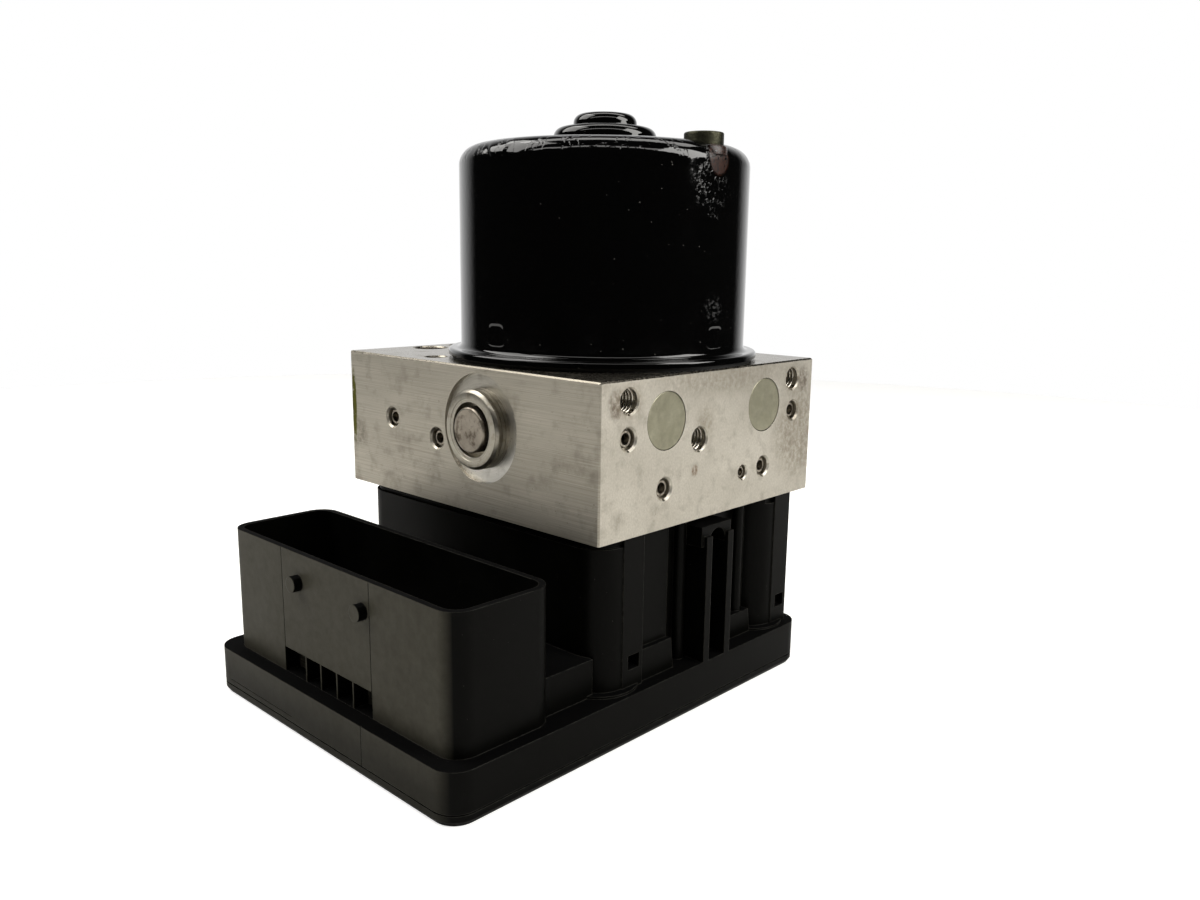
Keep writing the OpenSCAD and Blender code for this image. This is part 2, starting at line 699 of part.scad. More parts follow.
// Processor, drivers, relays and capacitors on the underside of the board
module board_parts() {
    color("#232426") {
        for (b = [[-20, -34, 24, 24, 2.2], [18, -36, 16, 12, 2], [36, -30, 12, 9, 2], [-30, 8, 18, 14, 3], [2, 10, 18, 14, 3], [30, 12, 14, 14, 2.4],
                  [-28, 40, 14, 10, 2.6], [4, 42, 12, 10, 2.2], [28, 44, 14, 10, 2.2]])
        translate([b[0] - b[2] / 2, b[1] - b[3] / 2, board_top - board_t - b[4]]) cube([b[2], b[3], b[4]]);
        for (p = [[-44, -26], [-44, 24], [42, 30], [44, -52], [-42, -52]]) translate([p[0], p[1], board_top - board_t - 3.4]) cylinder(h = 3.4, r = 3);
    }
}

function signal_places() = [for (j = [-1:1]) for (i = [0:pin_columns - 1]) [-18 + i * 4.2, socket_y + j * 4]];
function power_places() = [for (x = [-38, -29]) for (j = [-1, 1]) [x, socket_y + j * 3.4]];

module signal_pins() {
    color("#cfcabb")
    for (p = signal_places()) translate([p[0] - 0.4, p[1] - 0.3, board_top]) cube([0.8, 0.6, pin_top - board_top]);
}

module power_pins() {
    color("#cfcabb")
    for (p = power_places()) translate([p[0] - 2.4, p[1] - 0.4, board_top]) cube([4.8, 0.8, pin_top - board_top + 2]);
}

module pin_block() {
    color("#1b1b1d")
    difference() {
        translate([-pin_block_w / 2, socket_y - pin_block_d / 2, floor_z - 6]) cube([pin_block_w, pin_block_d, 6.8]);
        for (p = signal_places()) translate([p[0] - 0.45, p[1] - 0.35, floor_z - 8]) cube([0.9, 0.7, 12]);
        for (p = power_places()) translate([p[0] - 2.45, p[1] - 0.45, floor_z - 8]) cube([4.9, 0.9, 12]);
    }
}

module motor_pins() {
    color("#cfcabb")
    for (s = [-1, 1]) translate([pins_at[0] + s * 1.7 - 0.4, pins_at[1] - 1.25, board_top]) cube([0.8, 2.5, top_z + 6 - board_top]);
}

// Inside of the riser, set in from its outside by i and from the bay on its right side by g
module riser_room(i, g, z0, z1) {
    difference() {
        translate([0, riser_y, 0]) round_box(riser_w - 2 * i, riser_d - 2 * i, z0, z1, tower_r - i);
        difference() {
            translate([bay_x - g, bay_front - g, z0 - 1]) cube([20, tower_back - bay_front + g, z1 - z0 + 2]);
            translate([tower_x, tower_back, z0 - 2]) cylinder(h = z1 - z0 + 4, r = tower_r - g);
        }
    }
}

// Panel, steps, posts, ribs and arch in the bay
module bay_parts() {
    post_h = riser_top - deck_z;
    translate([bay_x - 1, bay_front - 1, deck_z - 1]) cube([4, 13.2, post_h]);
    for (b = [[bay_front - 1, 15.4, 47.6, 8.4], [bay_back - 12.6, 13.2, 46.6, 6.9]])
    translate([bay_x - 1, b[0], deck_z - 1]) rotate([90, 0, 90])
    linear_extrude(height = b[2] - bay_x + 1) polygon([[0, 0], [b[1] - 0.8, 0], [b[1] - 2, b[3] + 1], [0, b[3] + 1]]);
    for (y = [bay_front + 19.2, bay_back - 4.9]) translate([bay_x + 1.2, y, deck_z - 1]) cylinder(h = post_h, r = 1.6);
    for (y = [mid_y - 3.5, mid_y + 5.6]) translate([bay_x - 1, y - rib_t / 2, deck_z - 1]) cube([base_w / 2 - bay_x + 1, rib_t, 35.2]);
    difference() {
        translate([bay_x - 1, mid_y - 5.6, riser_top - 7.2]) cube([base_w / 2 - bay_x - 0.1, 12.4, 5.4]);
        translate([bay_x - 2, mid_y + 1.05, riser_top - 6.4]) rotate([0, 90, 0]) cylinder(h = 12, r = 3.4);
    }
}

// Column with its web into the corner, round the long screw
module screw_column(p) {
    translate([p[0], p[1], 0]) {
        cylinder(h = 60, r = 3.9);
        rotate([0, 0, p[0] > 0 ? (p[1] < mid_y ? -45 : 45) : (p[1] < mid_y ? -135 : 135)]) translate([0, -1.5, 0]) cube([7, 3, 60]);
    }
}

module ecu_housing() {
    color("#19191b")
    difference() {
        union() {
            round_box(base_w, base_d, skirt_z, deck_z, base_r);
            translate([0, socket_y, 0]) round_box(socket_w, socket_d, deck_z - 1, socket_z, 5.6);
            translate([-45, socket_back - 1, deck_z - 1]) cube([90, riser_front - socket_back + 2, floor_z - deck_z + 1]);
            riser_room(0, 0, deck_z - 1, riser_top);
            bay_parts();
            for (ty = [tower_front, tower_back]) translate([riser_w / 2 - 2, ty, deck_z - 1]) cube([2.35, 7.4, riser_top - deck_z - 1.2]);
            for (p = towers) translate([p[0], p[1], deck_z - 1]) cylinder(h = 1.6, r = 10.2);
            for (x = [-13.1, 14.8]) translate([x, socket_y - socket_d / 2 + 0.5, 37.9]) rotate([90, 0, 0]) cylinder(h = 2.8, r = 2.05);
        }
        // Room for the circuit board
        round_box(base_w - 2 * skirt_wall, base_d - 2 * skirt_wall, skirt_z - 1, board_top, base_r - skirt_wall);
        // Inside of the shroud, the seat of the pin block and the pockets in the shroud's foot
        translate([0, socket_y, 0]) round_box(socket_w - 2 * socket_wall, socket_d - 2 * socket_wall, floor_z, socket_z + 1, 5.6 - socket_wall);
        translate([-pin_block_w / 2 - 0.1, socket_y - pin_block_d / 2 - 0.1, board_top - 1]) cube([pin_block_w + 0.2, pin_block_d + 0.2, 20]);
        for (b = [[-21.1, 8.2], [-11.5, 6.2], [-3.85, 6.2], [3.7, 5.9], [10.9, 6.7]])
        translate([b[0], socket_y - socket_d / 2 - 1, deck_z + 1.6]) cube([b[1], 5, 4.9]);
        // Hollow under the floors of the shroud and of the step behind it
        difference() {
            union() {
                translate([0, socket_y, 0]) round_box(socket_w - 4, socket_d - 4, board_top - 1, floor_z - 2, 3.6);
                translate([-43, socket_back - 3, board_top - 1]) cube([86, riser_front - socket_back + 3, floor_z - board_top - 1]);
            }
            translate([-pin_block_w / 2 - 1.8, socket_y - pin_block_d / 2 - 1.8, 0]) cube([pin_block_w + 3.6, pin_block_d + 3.6, 60]);
            translate([-22.9, socket_y - socket_d / 2, 0]) cube([42.3, 5.8, 60]);
        }
        // Coil room
        difference() {
            riser_room(2.1, wall, board_top - 1, riser_top + 1);
            for (p = towers) screw_column(p);
            for (ty = [tower_front, tower_back]) translate([riser_w / 2 - 5.5, ty, 0]) cube([10, 8, 60]);
        }
        for (p = towers) translate([p[0], p[1], 0]) cylinder(h = 60, r = screw_r + 0.3);
        // Lip at the riser's top
        difference() {
            translate([-60, -80, riser_top - 1.8]) cube([120, 160, 5]);
            translate([0, riser_y, 0]) round_box(riser_w - 1.6, riser_d - 1.6, riser_top - 3, riser_top + 5, tower_r - 0.8);
        }
        for (ty = [tower_front, tower_back]) translate([riser_w / 2 - 3.4, ty + 2.1, deck_z + 4.9]) cube([5, 4.1, 3.7]);
    }
}

module ecu_seal() {
    color("#2a2a2a")
    difference() {
        riser_room(1.1, wall - 1, riser_top, ecu_h);
        riser_room(2.1, wall, riser_top - 1, ecu_h + 1);
    }
}

module ecu_cover() {
    color("#1d1d1f") {
        hull() {
            round_box(base_w - 1.6, base_d - 1.6, 0, 0.4, base_r - 0.8);
            round_box(base_w, base_d, 1.2, cover_t, base_r);
        }
        difference() {
            round_box(base_w - 2 * skirt_wall - 0.3, base_d - 2 * skirt_wall - 0.3, cover_t - 0.5, cover_t + 1.6, base_r - skirt_wall);
            round_box(base_w - 2 * skirt_wall - 3, base_d - 2 * skirt_wall - 3, cover_t - 1, cover_t + 3, base_r - skirt_wall - 1.2);
        }
    }
}

module ecu_screws() {
    color("#8f9194")
    for (p = towers) translate([p[0], p[1], 0]) {
        translate([0, 0, board_top - 3.4]) cylinder(h = 3.4, r = 3.6);
        translate([0, 0, board_top - 0.5]) cylinder(h = ecu_h + 11.5 - board_top, r = screw_r - 0.03);
    }
}

module motor_screws() {
    color("#8f9194")
    for (p = motor_screws) translate([p[0], p[1], 0]) {
        translate([0, 0, ecu_h + 0.6]) cylinder(h = 3.6, r = 3.5);
        translate([0, 0, ecu_h + 4]) cylinder(h = block_h - 0.5, r = screw_r);
    }
}

valve_block();
motor_can();
can_stub();
motor_gasket();
motor_end_plate();
brush_plate();
brushes();
brush_springs();
magnets();
rotor_core();
rotor_coils();
commutator();
motor_shaft();
top_bushing();
bearing_outer();
bearing_balls();
bearing_inner();
eccentric_ring();
eccentric_needles();
pump_piston_front();
pump_piston_back();
pump_springs();
pump_cylinders();
outlet_balls();
pump_plugs();
pump_caps();
accu_piston_front();
accu_piston_back();
accu_springs();
accu_caps();
ball_plugs();
plug_sleeves();
valve_tubes();
valve_seats();
valve_springs();
for (i = [1:12]) valve_plunger(i);
valve_coils();
coil_yokes();
circuit_board();
board_parts();
pin_block();
signal_pins();
power_pins();
motor_pins();
ecu_housing();
ecu_seal();
ecu_cover();
ecu_screws();
motor_screws();
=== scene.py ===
"""Looks of a brake system's hydraulic unit: pump motor, valve block and control unit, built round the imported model."""
import json
import math

import bmesh
import bpy
from mathutils import Matrix, Vector, noise


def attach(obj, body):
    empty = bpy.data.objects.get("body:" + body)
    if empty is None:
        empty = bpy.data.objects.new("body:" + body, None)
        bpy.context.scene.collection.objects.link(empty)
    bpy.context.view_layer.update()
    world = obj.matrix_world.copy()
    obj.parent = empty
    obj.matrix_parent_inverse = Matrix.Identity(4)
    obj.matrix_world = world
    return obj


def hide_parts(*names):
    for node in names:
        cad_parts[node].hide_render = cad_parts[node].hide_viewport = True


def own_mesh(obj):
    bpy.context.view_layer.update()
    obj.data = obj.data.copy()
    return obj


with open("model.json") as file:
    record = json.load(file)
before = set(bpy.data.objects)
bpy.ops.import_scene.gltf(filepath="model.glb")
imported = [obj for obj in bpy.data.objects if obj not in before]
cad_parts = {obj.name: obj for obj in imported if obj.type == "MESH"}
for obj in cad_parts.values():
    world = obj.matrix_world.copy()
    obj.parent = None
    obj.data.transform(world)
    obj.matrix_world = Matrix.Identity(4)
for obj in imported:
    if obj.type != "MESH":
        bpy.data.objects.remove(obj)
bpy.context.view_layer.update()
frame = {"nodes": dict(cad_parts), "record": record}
nodes = frame["nodes"]


# Camera: it stands where the photograph was taken from, a little above the block and off its near corner,
# with the lens that the block's and the base's edges give.
def put(name, data):
    """A new object in the scene."""
    made = bpy.data.objects.new(name, data)
    bpy.context.scene.collection.objects.link(made)
    return made


CAMERA_AT = (0.19931, -0.17939, 0.11735)
CAMERA_YAW, CAMERA_PITCH, CAMERA_ROLL = 0.75562, 0.19278, -0.01328
FOCAL_PX, WIDTH_PX, SENSOR_MM = 986.86, 1200, 36
forward = Vector((
    -math.sin(CAMERA_YAW) * math.cos(CAMERA_PITCH),
    math.cos(CAMERA_YAW) * math.cos(CAMERA_PITCH),
    -math.sin(CAMERA_PITCH),
))
level = Vector((math.cos(CAMERA_YAW), math.sin(CAMERA_YAW), 0))
right = math.cos(CAMERA_ROLL) * level + math.sin(CAMERA_ROLL) * forward.cross(level)
camera_data = bpy.data.cameras.new("camera")
camera_data.sensor_width = SENSOR_MM
camera_data.lens = FOCAL_PX / WIDTH_PX * SENSOR_MM
camera_data.clip_start = 0.01
camera = put("camera", camera_data)
camera_axes = Matrix((right, (-forward).cross(right), -forward)).transposed()
camera.matrix_world = Matrix.Translation(CAMERA_AT) @ camera_axes.to_4x4()
bpy.context.scene.camera = camera
bpy.context.scene.view_settings.view_transform = "Standard"


# Floor and room: the unit stands on a round pale table in a photographer's tent. The tent is white behind the unit
# and open, so dark, behind the camera. Camera, mirrored and refracted rays all show the white background.
def linear(code):
    """The linear colour of an sRGB hex value."""
    parts = [int(code[i : i + 2], 16) / 255 for i in (1, 3, 5)]
    return tuple(c / 12.92 if c <= 0.04045 else ((c + 0.055) / 1.055) ** 2.4 for c in parts) + (1.0,)


def add_node(tree, kind, inputs=None, **settings):
    """Adds a node, sets its properties, and fills inputs by name or number with values, hex colours or links.

    A link is given as the socket it comes from, or as a node whose first output is meant.
    """
    node = tree.nodes.new(kind)
    for name, value in settings.items():
        setattr(node, name, value)
    for name, value in (inputs or {}).items():
        if isinstance(value, bpy.types.Node):
            value = value.outputs[0]
        if isinstance(value, bpy.types.NodeSocket):
            tree.links.new(value, node.inputs[name])
        else:
            node.inputs[name].default_value = linear(value) if isinstance(value, str) else value
    return node


FLOOR_RADIUS, WHITE = 0.75, (1, 1, 1, 1)
floor_mesh = bpy.data.meshes.new("floor")
rim = [math.radians(a) for a in range(0, 360, 5)]
rim = [(FLOOR_RADIUS * math.cos(a), FLOOR_RADIUS * math.sin(a), 0) for a in rim]
floor_mesh.from_pydata(rim, [], [tuple(range(len(rim)))])
floor = put("floor", floor_mesh)
pale = bpy.data.materials.new("pale_table")
pale.use_nodes = True
t = pale.node_tree
table = t.nodes["Principled BSDF"]
table.inputs["Base Color"].default_value = linear("#DAD9D6")
table.inputs["Roughness"].default_value = 0.9
table.inputs["Specular IOR Level"].default_value = 0.1
rays = add_node(t, "ShaderNodeLightPath").outputs
mirrored = {0: rays["Is Glossy Ray"], 1: rays["Is Transmission Ray"]}
mirrored = add_node(t, "ShaderNodeMath", mirrored, operation="MAXIMUM")
place = add_node(t, "ShaderNodeTexCoord").outputs["Object"]
from_unit = add_node(t, "ShaderNodeVectorMath", {0: place}, operation="LENGTH").outputs["Value"]
far_off = {"Value": from_unit, "From Min": 0.25, "From Max": 0.5}
far_off = add_node(t, "ShaderNodeMapRange", far_off, interpolation_type="SMOOTHSTEP")
mirrored_far = add_node(t, "ShaderNodeMath", {0: mirrored, 1: far_off}, operation="MULTIPLY")
shown = add_node(t, "ShaderNodeMath", {0: rays["Is Camera Ray"], 1: mirrored_far}, operation="MAXIMUM")
strength = add_node(t, "ShaderNodeMath", {0: shown, 1: 0.62}, operation="MULTIPLY")
glow = add_node(t, "ShaderNodeEmission", {"Color": WHITE, "Strength": strength})
both = add_node(t, "ShaderNodeAddShader", {0: table, 1: glow})
t.links.new(both.outputs[0], t.nodes["Material Output"].inputs["Surface"])
floor_mesh.materials.append(pale)

WALL_TURN, WALL_LIGHT, ROOM_LIGHT = math.radians(4), 0.6, 0.012
world = bpy.data.worlds.new("tent")
bpy.context.scene.world = world
world.use_nodes = True
t = world.node_tree
t.nodes.clear()
to_wall = Vector((forward.x, forward.y, 0)).normalized()
to_wall.rotate(Matrix.Rotation(WALL_TURN, 3, "Z"))
way = add_node(t, "ShaderNodeTexCoord").outputs["Generated"]
ahead = add_node(t, "ShaderNodeVectorMath", {0: way, 1: tuple(to_wall)}, operation="DOT_PRODUCT").outputs["Value"]
back_wall = {"Value": ahead, "From Min": 0.54, "From Max": 0.95}
back_wall = add_node(t, "ShaderNodeMapRange", back_wall, interpolation_type="SMOOTHSTEP")
lit = add_node(t, "ShaderNodeMath", {0: back_wall, 1: WALL_LIGHT, 2: ROOM_LIGHT}, operation="MULTIPLY_ADD")
soft = add_node(t, "ShaderNodeBackground", {"Color": WHITE, "Strength": lit})
plain = add_node(t, "ShaderNodeBackground", {"Color": WHITE, "Strength": 1.0})
rays = add_node(t, "ShaderNodeLightPath").outputs
mirrored = {0: rays["Is Glossy Ray"], 1: rays["Is Transmission Ray"]}
mirrored = add_node(t, "ShaderNodeMath", mirrored, operation="MAXIMUM")
behind_unit = add_node(t, "ShaderNodeMath", {0: mirrored, 1: back_wall}, operation="MULTIPLY")
shown = add_node(t, "ShaderNodeMath", {0: rays["Is Camera Ray"], 1: behind_unit}, operation="MAXIMUM")
which = add_node(t, "ShaderNodeMixShader", {0: shown, 1: soft, 2: plain})
add_node(t, "ShaderNodeOutputWorld", {0: which})

# Lamps: a large warm-white one to each side lights the faces.
# Strips above and in front draw the lines of light along the can's round edges.
LAMP_WHITE, LAMPS_AIM = (1.0, 0.985, 0.95), Vector((0, 0, 0.05))
for name, place, width, depth, watts in (
    ("light_left", (-0.40, -0.30, 0.60), 0.54, 0.54, 4.4),
    ("light_right", (0.66, 0.28, 0.50), 0.54, 0.4, 6.2),
    ("light_front", (0.246, -0.363, 0.62), 1.2, 0.08, 1.35),
    ("light_top", (-0.05, 0.12, 0.80), 1.0, 0.2, 2.6),
):
    lamp_data = bpy.data.lights.new(name, "AREA")
    lamp_data.shape = "RECTANGLE"
    lamp_data.size, lamp_data.size_y = width, depth
    lamp_data.energy, lamp_data.color = watts, LAMP_WHITE
    lamp = put(name, lamp_data)
    lamp.visible_camera = False
    back = (Vector(place) - LAMPS_AIM).normalized()
    across = (level - back * level.dot(back)).normalized()
    lamp_axes = Matrix((across, back.cross(across), back)).transposed()
    lamp.matrix_world = Matrix.Translation(place) @ lamp_axes.to_4x4()


# Control unit's housing and cover: an injection moulding each, of black glass-filled nylon, the cover welded on below.
# The mould leaves a fine spark-eroded grain and parting lines down the shroud; the edges are painted paler: a painted
# highlight, and rubbing from handling.
def material(name, metallic, roughness=0.5):
    """A new material, its tree, its shader and the object's own coordinates in millimetres.

    Roughness is left out where the material's own nodes give it.
    """
    made = bpy.data.materials.new(name)
    made.use_nodes = True
    tree = made.node_tree
    shader = tree.nodes["Principled BSDF"]
    shader.inputs["Metallic"].default_value = metallic
    shader.inputs["Roughness"].default_value = roughness
    place = add_node(tree, "ShaderNodeTexCoord").outputs["Object"]
    mm = add_node(tree, "ShaderNodeVectorMath", {0: place, "Scale": 1000.0}, operation="SCALE")
    return made, tree, shader, mm.outputs[0]


def give(made, *names):
    """Puts a material on carried-over nodes."""
    for name in names:
        nodes[name].data.materials.clear()
        nodes[name].data.materials.append(made)


def noise_between(tree, mm, scale, low, high, stretch=(1, 1, 1), detail=4.0, to=1.0):
    """A noise of so many cycles a millimetre, cut to run from nothing at low to the full value at high."""
    moved = add_node(tree, "ShaderNodeMapping", {0: mm, "Scale": tuple(scale * s for s in stretch)})
    grain = add_node(tree, "ShaderNodeTexNoise", {0: moved, "Scale": 1.0, "Detail": detail, "Roughness": 0.6})
    cut = {"Value": grain, "From Min": low, "From Max": high, "To Max": to}
    return add_node(tree, "ShaderNodeMapRange", cut).outputs[0]


def coats(tree, tone, *layers):
    """Lays coats over a first colour. Each has how much of it there is, and its colour, a hex value or a socket."""
    for amount, colour in layers:
        tone = add_node(tree, "ShaderNodeMix", {0: amount, 6: tone, 7: colour}, data_type="RGBA").outputs[2]
    return tone


def patch(tree, mm, centre, reach, soft_edge=0.5):
    """A mark that is full at its centre and fades out towards an ellipsoid's skin."""
    moved = add_node(tree, "ShaderNodeVectorMath", {0: mm, 1: centre}, operation="SUBTRACT")
    scaled = add_node(tree, "ShaderNodeVectorMath", {0: moved, 1: reach}, operation="DIVIDE")
    far = add_node(tree, "ShaderNodeVectorMath", {0: scaled}, operation="LENGTH").outputs["Value"]
    fade = {"Value": far, "From Min": 1.0 - soft_edge, "From Max": 1.0, "To Min": 1.0, "To Max": 0.0}
    return add_node(tree, "ShaderNodeMapRange", fade, interpolation_type="SMOOTHSTEP").outputs[0]


def bevelled_edges(tree, radius, low, high):
    """A rounded normal for sharp edges, and how far it leans from the flat one, which marks the edges that are painted
    paler as highlight and wear.
    """
    rounded = add_node(tree, "ShaderNodeBevel", {"Radius": radius / 1000}, samples=6)
    flat = add_node(tree, "ShaderNodeNewGeometry").outputs["Normal"]
    lean = add_node(tree, "ShaderNodeVectorMath", {0: rounded, 1: flat}, operation="DOT_PRODUCT").outputs["Value"]
    edge_wear_and_highlight = add_node(tree, "ShaderNodeMapRange", {"Value": lean, "From Min": low, "From Max": high})
    return rounded.outputs[0], edge_wear_and_highlight.outputs[0]


nylon, t, shader, mm = material("moulded_black_nylon", 0.0)
shader.inputs["Specular IOR Level"].default_value = 0.06
rounded, edges = bevelled_edges(t, 0.35, 0.99, 0.86)
cloud = noise_between(t, mm, 0.06, 0.35, 0.7)
turn = add_node(t, "ShaderNodeSeparateXYZ", {0: add_node(t, "ShaderNodeTexCoord").outputs["Normal"]}).outputs
at = add_node(t, "ShaderNodeSeparateXYZ", {0: mm}).outputs
# The shroud's front is painted grey, a painted sheen, less so low down; what faces up is painted darker, a painted
# shade.
to_front = add_node(t, "ShaderNodeMapRange", {"Value": turn[1], "From Min": -0.76, "From Max": -1.0})
outermost = add_node(t, "ShaderNodeMath", {0: at[1], 1: -40.0}, operation="LESS_THAN")
front_sheen_mask = add_node(t, "ShaderNodeMath", {0: to_front, 1: outermost}, operation="MULTIPLY")
low_down = add_node(t, "ShaderNodeMapRange", {"Value": at[2], "From Min": 6.0, "From Max": 18.0, "To Min": 0.38})
painted_front_sheen = add_node(t, "ShaderNodeMath", {0: front_sheen_mask, 1: low_down}, operation="MULTIPLY")
grey = coats(t, "#3D3B33", (noise_between(t, mm, 0.45, 0.3, 0.7, detail=6.0), "#46443C"))
facing_up = add_node(t, "ShaderNodeMapRange", {"Value": turn[2], "From Min": 0.7, "From Max": 0.98})
# The edges are painted paler: a painted highlight along them, broken up in patches.
edge_breakup = noise_between(t, mm, 0.5, 0.3, 0.6, to=0.7)
edge_wear_and_highlight = add_node(t, "ShaderNodeMath", {0: edges, 1: edge_breakup}, operation="MULTIPLY")
scuffs = noise_between(t, mm, 0.35, 0.68, 0.74, (1, 1, 0.25), 6.0, 0.3)
dust = noise_between(t, mm, 2.2, 0.76, 0.8, detail=2.0, to=0.6)
tone = coats(t, "#030302", (cloud, "#060605"), (painted_front_sheen, grey), (facing_up, "#010101"))
tone = coats(t, tone, (edge_wear_and_highlight, "#3A3934"), (scuffs, "#2E2D29"), (dust, "#6E6B64"))
t.links.new(tone, shader.inputs["Base Color"])
satin = add_node(t, "ShaderNodeMapRange", {"Value": cloud, "To Min": 0.36, "To Max": 0.46})
rough = add_node(t, "ShaderNodeMath", {0: facing_up, 1: 0.5, 2: satin}, operation="MULTIPLY_ADD")
t.links.new(rough.outputs[0], shader.inputs["Roughness"])
erosion = add_node(t, "ShaderNodeTexNoise", {0: mm, "Scale": 2.5, "Detail": 3.0})
bump = add_node(t, "ShaderNodeBump", {"Height": erosion, "Normal": rounded, "Strength": 0.25, "Distance": 0.00004})
t.links.new(bump.outputs[0], shader.inputs["Normal"])


def boxes_mesh(name, corners_mm):
    """A mesh of closed boxes, each given by its lowest and highest corner."""
    shape = bmesh.new()
    for low_corner, high_corner in corners_mm:
        middle = [(a + b) / 2000 for a, b in zip(low_corner, high_corner)]
        spread = [(b - a) / 1000 for a, b in zip(low_corner, high_corner)]
        bmesh.ops.create_cube(shape, size=1.0, matrix=Matrix.Translation(middle) @ Matrix.Diagonal((*spread, 1.0)))
    mesh = bpy.data.meshes.new(name)
    shape.to_mesh(mesh)
    shape.free()
    return mesh


def shade(shape, sharp):
    """Smooths all faces, and keeps the edges hard that turn by so many degrees."""
    for face in shape.faces:
        face.smooth = True
    for edge in shape.edges:
        edge.smooth = len(edge.link_faces) == 2 and edge.calc_face_angle(0) < math.radians(sharp)


def smoothed_copy(name, node, made, cut=(), added=()):
    """Stands for a CAD node: its own solid with boxes cut from it or added to it, shaded smooth round its corners."""
    piece = put(name, nodes[node].data.copy())
    shape = bmesh.new()
    shape.from_mesh(piece.data)
    bmesh.ops.remove_doubles(shape, verts=shape.verts, dist=1e-7)
    shape.to_mesh(piece.data)
    shape.free()
    tools = []
    for kind, corners_mm in (("DIFFERENCE", cut), ("UNION", added)):
        if corners_mm:
            tool = put("tool", boxes_mesh("tool", corners_mm))
            step = piece.modifiers.new(kind, "BOOLEAN")
            step.operation, step.solver, step.object = kind, "EXACT", tool
            tools.append(tool)
    if tools:
        worked = bpy.data.meshes.new_from_object(piece.evaluated_get(bpy.context.evaluated_depsgraph_get()))
        piece.modifiers.clear()
        piece.data = worked
        for tool in tools:
            bpy.data.objects.remove(tool)
    shape = bmesh.new()
    shape.from_mesh(piece.data)
    bmesh.ops.remove_doubles(shape, verts=shape.verts, dist=1e-7)
    shade(shape, 28)
    for face in shape.faces:
        face.material_index = 0
    shape.to_mesh(piece.data)
    shape.free()
    piece.data.materials.clear()
    piece.data.materials.append(made)
    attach(piece, "unit")
    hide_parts(node)


# The five pockets in the shroud's foot are parted by thin webs and open onto the ledge. The mould's inserts leave fine
# lines on the shroud and the skirt. The corner panels reach up to the block, and a fillet backs the far one.
SHROUD_Y, SKIRT_Y, DECK_Z, RISER_X, FAR_TOWER_Y = -61.4, -65.5, 12.6, 48.0, 54.0
POCKETS_X = ((-21.17, -11.5), (-10.95, -4.6), (-4.05, 2.5), (3.05, 9.45), (10.0, 17.67))
pockets = [((x0, SHROUD_Y - 1.1, DECK_Z + 0.03), (x1, SHROUD_Y + 3.9, 19.13)) for x0, x1 in POCKETS_X]
mould_lines = [((x - 0.1, SHROUD_Y - 1, 19.2), (x + 0.1, SHROUD_Y + 0.2, 46)) for x in (-20.9, 17.5)]
mould_lines += [((18.7, SKIRT_Y - 0.5, 2), (18.9, SKIRT_Y + 0.2, 13))]
mould_lines += [((-44, SKIRT_Y - 0.5, 4.3), (-12, SKIRT_Y + 0.14, 4.45))]
panel_tops = [((RISER_X - 0.7, y, 48.5), (RISER_X + 0.35, y + 7.4, 51.85)) for y in (-10.2, FAR_TOWER_Y)]
backing = [((44.2, FAR_TOWER_Y + 5.2, DECK_Z - 0.5), (46.2, FAR_TOWER_Y + 7.4, 48.9))]
webs = [((x0, SHROUD_Y + 0.05, DECK_Z - 0.3), (x1, SHROUD_Y + 4.3, 19.5)) for x0, x1 in ((-11.5, -10.95), (9.45, 10.0))]
smoothed_copy("control_housing", "ecu_housing", nylon, pockets + mould_lines, webs + panel_tops + backing)
smoothed_copy("control_cover", "ecu_cover", nylon)

# Seals: a moulded rubber cord in a groove between housing and block, and a flat gasket under the motor's foot.
# The screws squeeze both; they are matt and dusty.
rubber, t, shader, mm = material("moulded_rubber", 0.0, 0.75)
t.links.new(coats(t, "#060606", (noise_between(t, mm, 0.9, 0.4, 0.7), "#121211")), shader.inputs["Base Color"])
give(rubber, "ecu_seal", "motor_gasket")

# Valve block: a sawn piece of extruded aluminium bar, milled on all faces and left bare. The front has a level grain,
# the side is finer and satin. Brake fluid, screws and handling have left brown rubs, specks and fine scratches.
SIDE_X, FRONT_Y, BACK_Y, BLOCK_TOP = 50, -21, 67, 90.0
SPOT_RADIUS, SPOT_DEPTH = 16.0, 0.4
MOTOR_X, MOTOR_Y, PUMP_Z = 8.0, 24.0, 74.3


def rings_round_pump(tree, mm, scale):
    """Rings that a cutting tool leaves round the level axis of the pump plugs, and a point's distance from it."""
    to_axis = {0: mm, 1: (1, 0, 1), 2: (-MOTOR_X, 0, -PUMP_Z)}
    to_axis = add_node(tree, "ShaderNodeVectorMath", to_axis, operation="MULTIPLY_ADD")
    away = add_node(tree, "ShaderNodeVectorMath", {0: to_axis}, operation="LENGTH").outputs["Value"]
    rings = add_node(tree, "ShaderNodeTexNoise", {"W": away, "Scale": scale, "Detail": 3.0}, noise_dimensions="1D")
    return rings.outputs[0], away


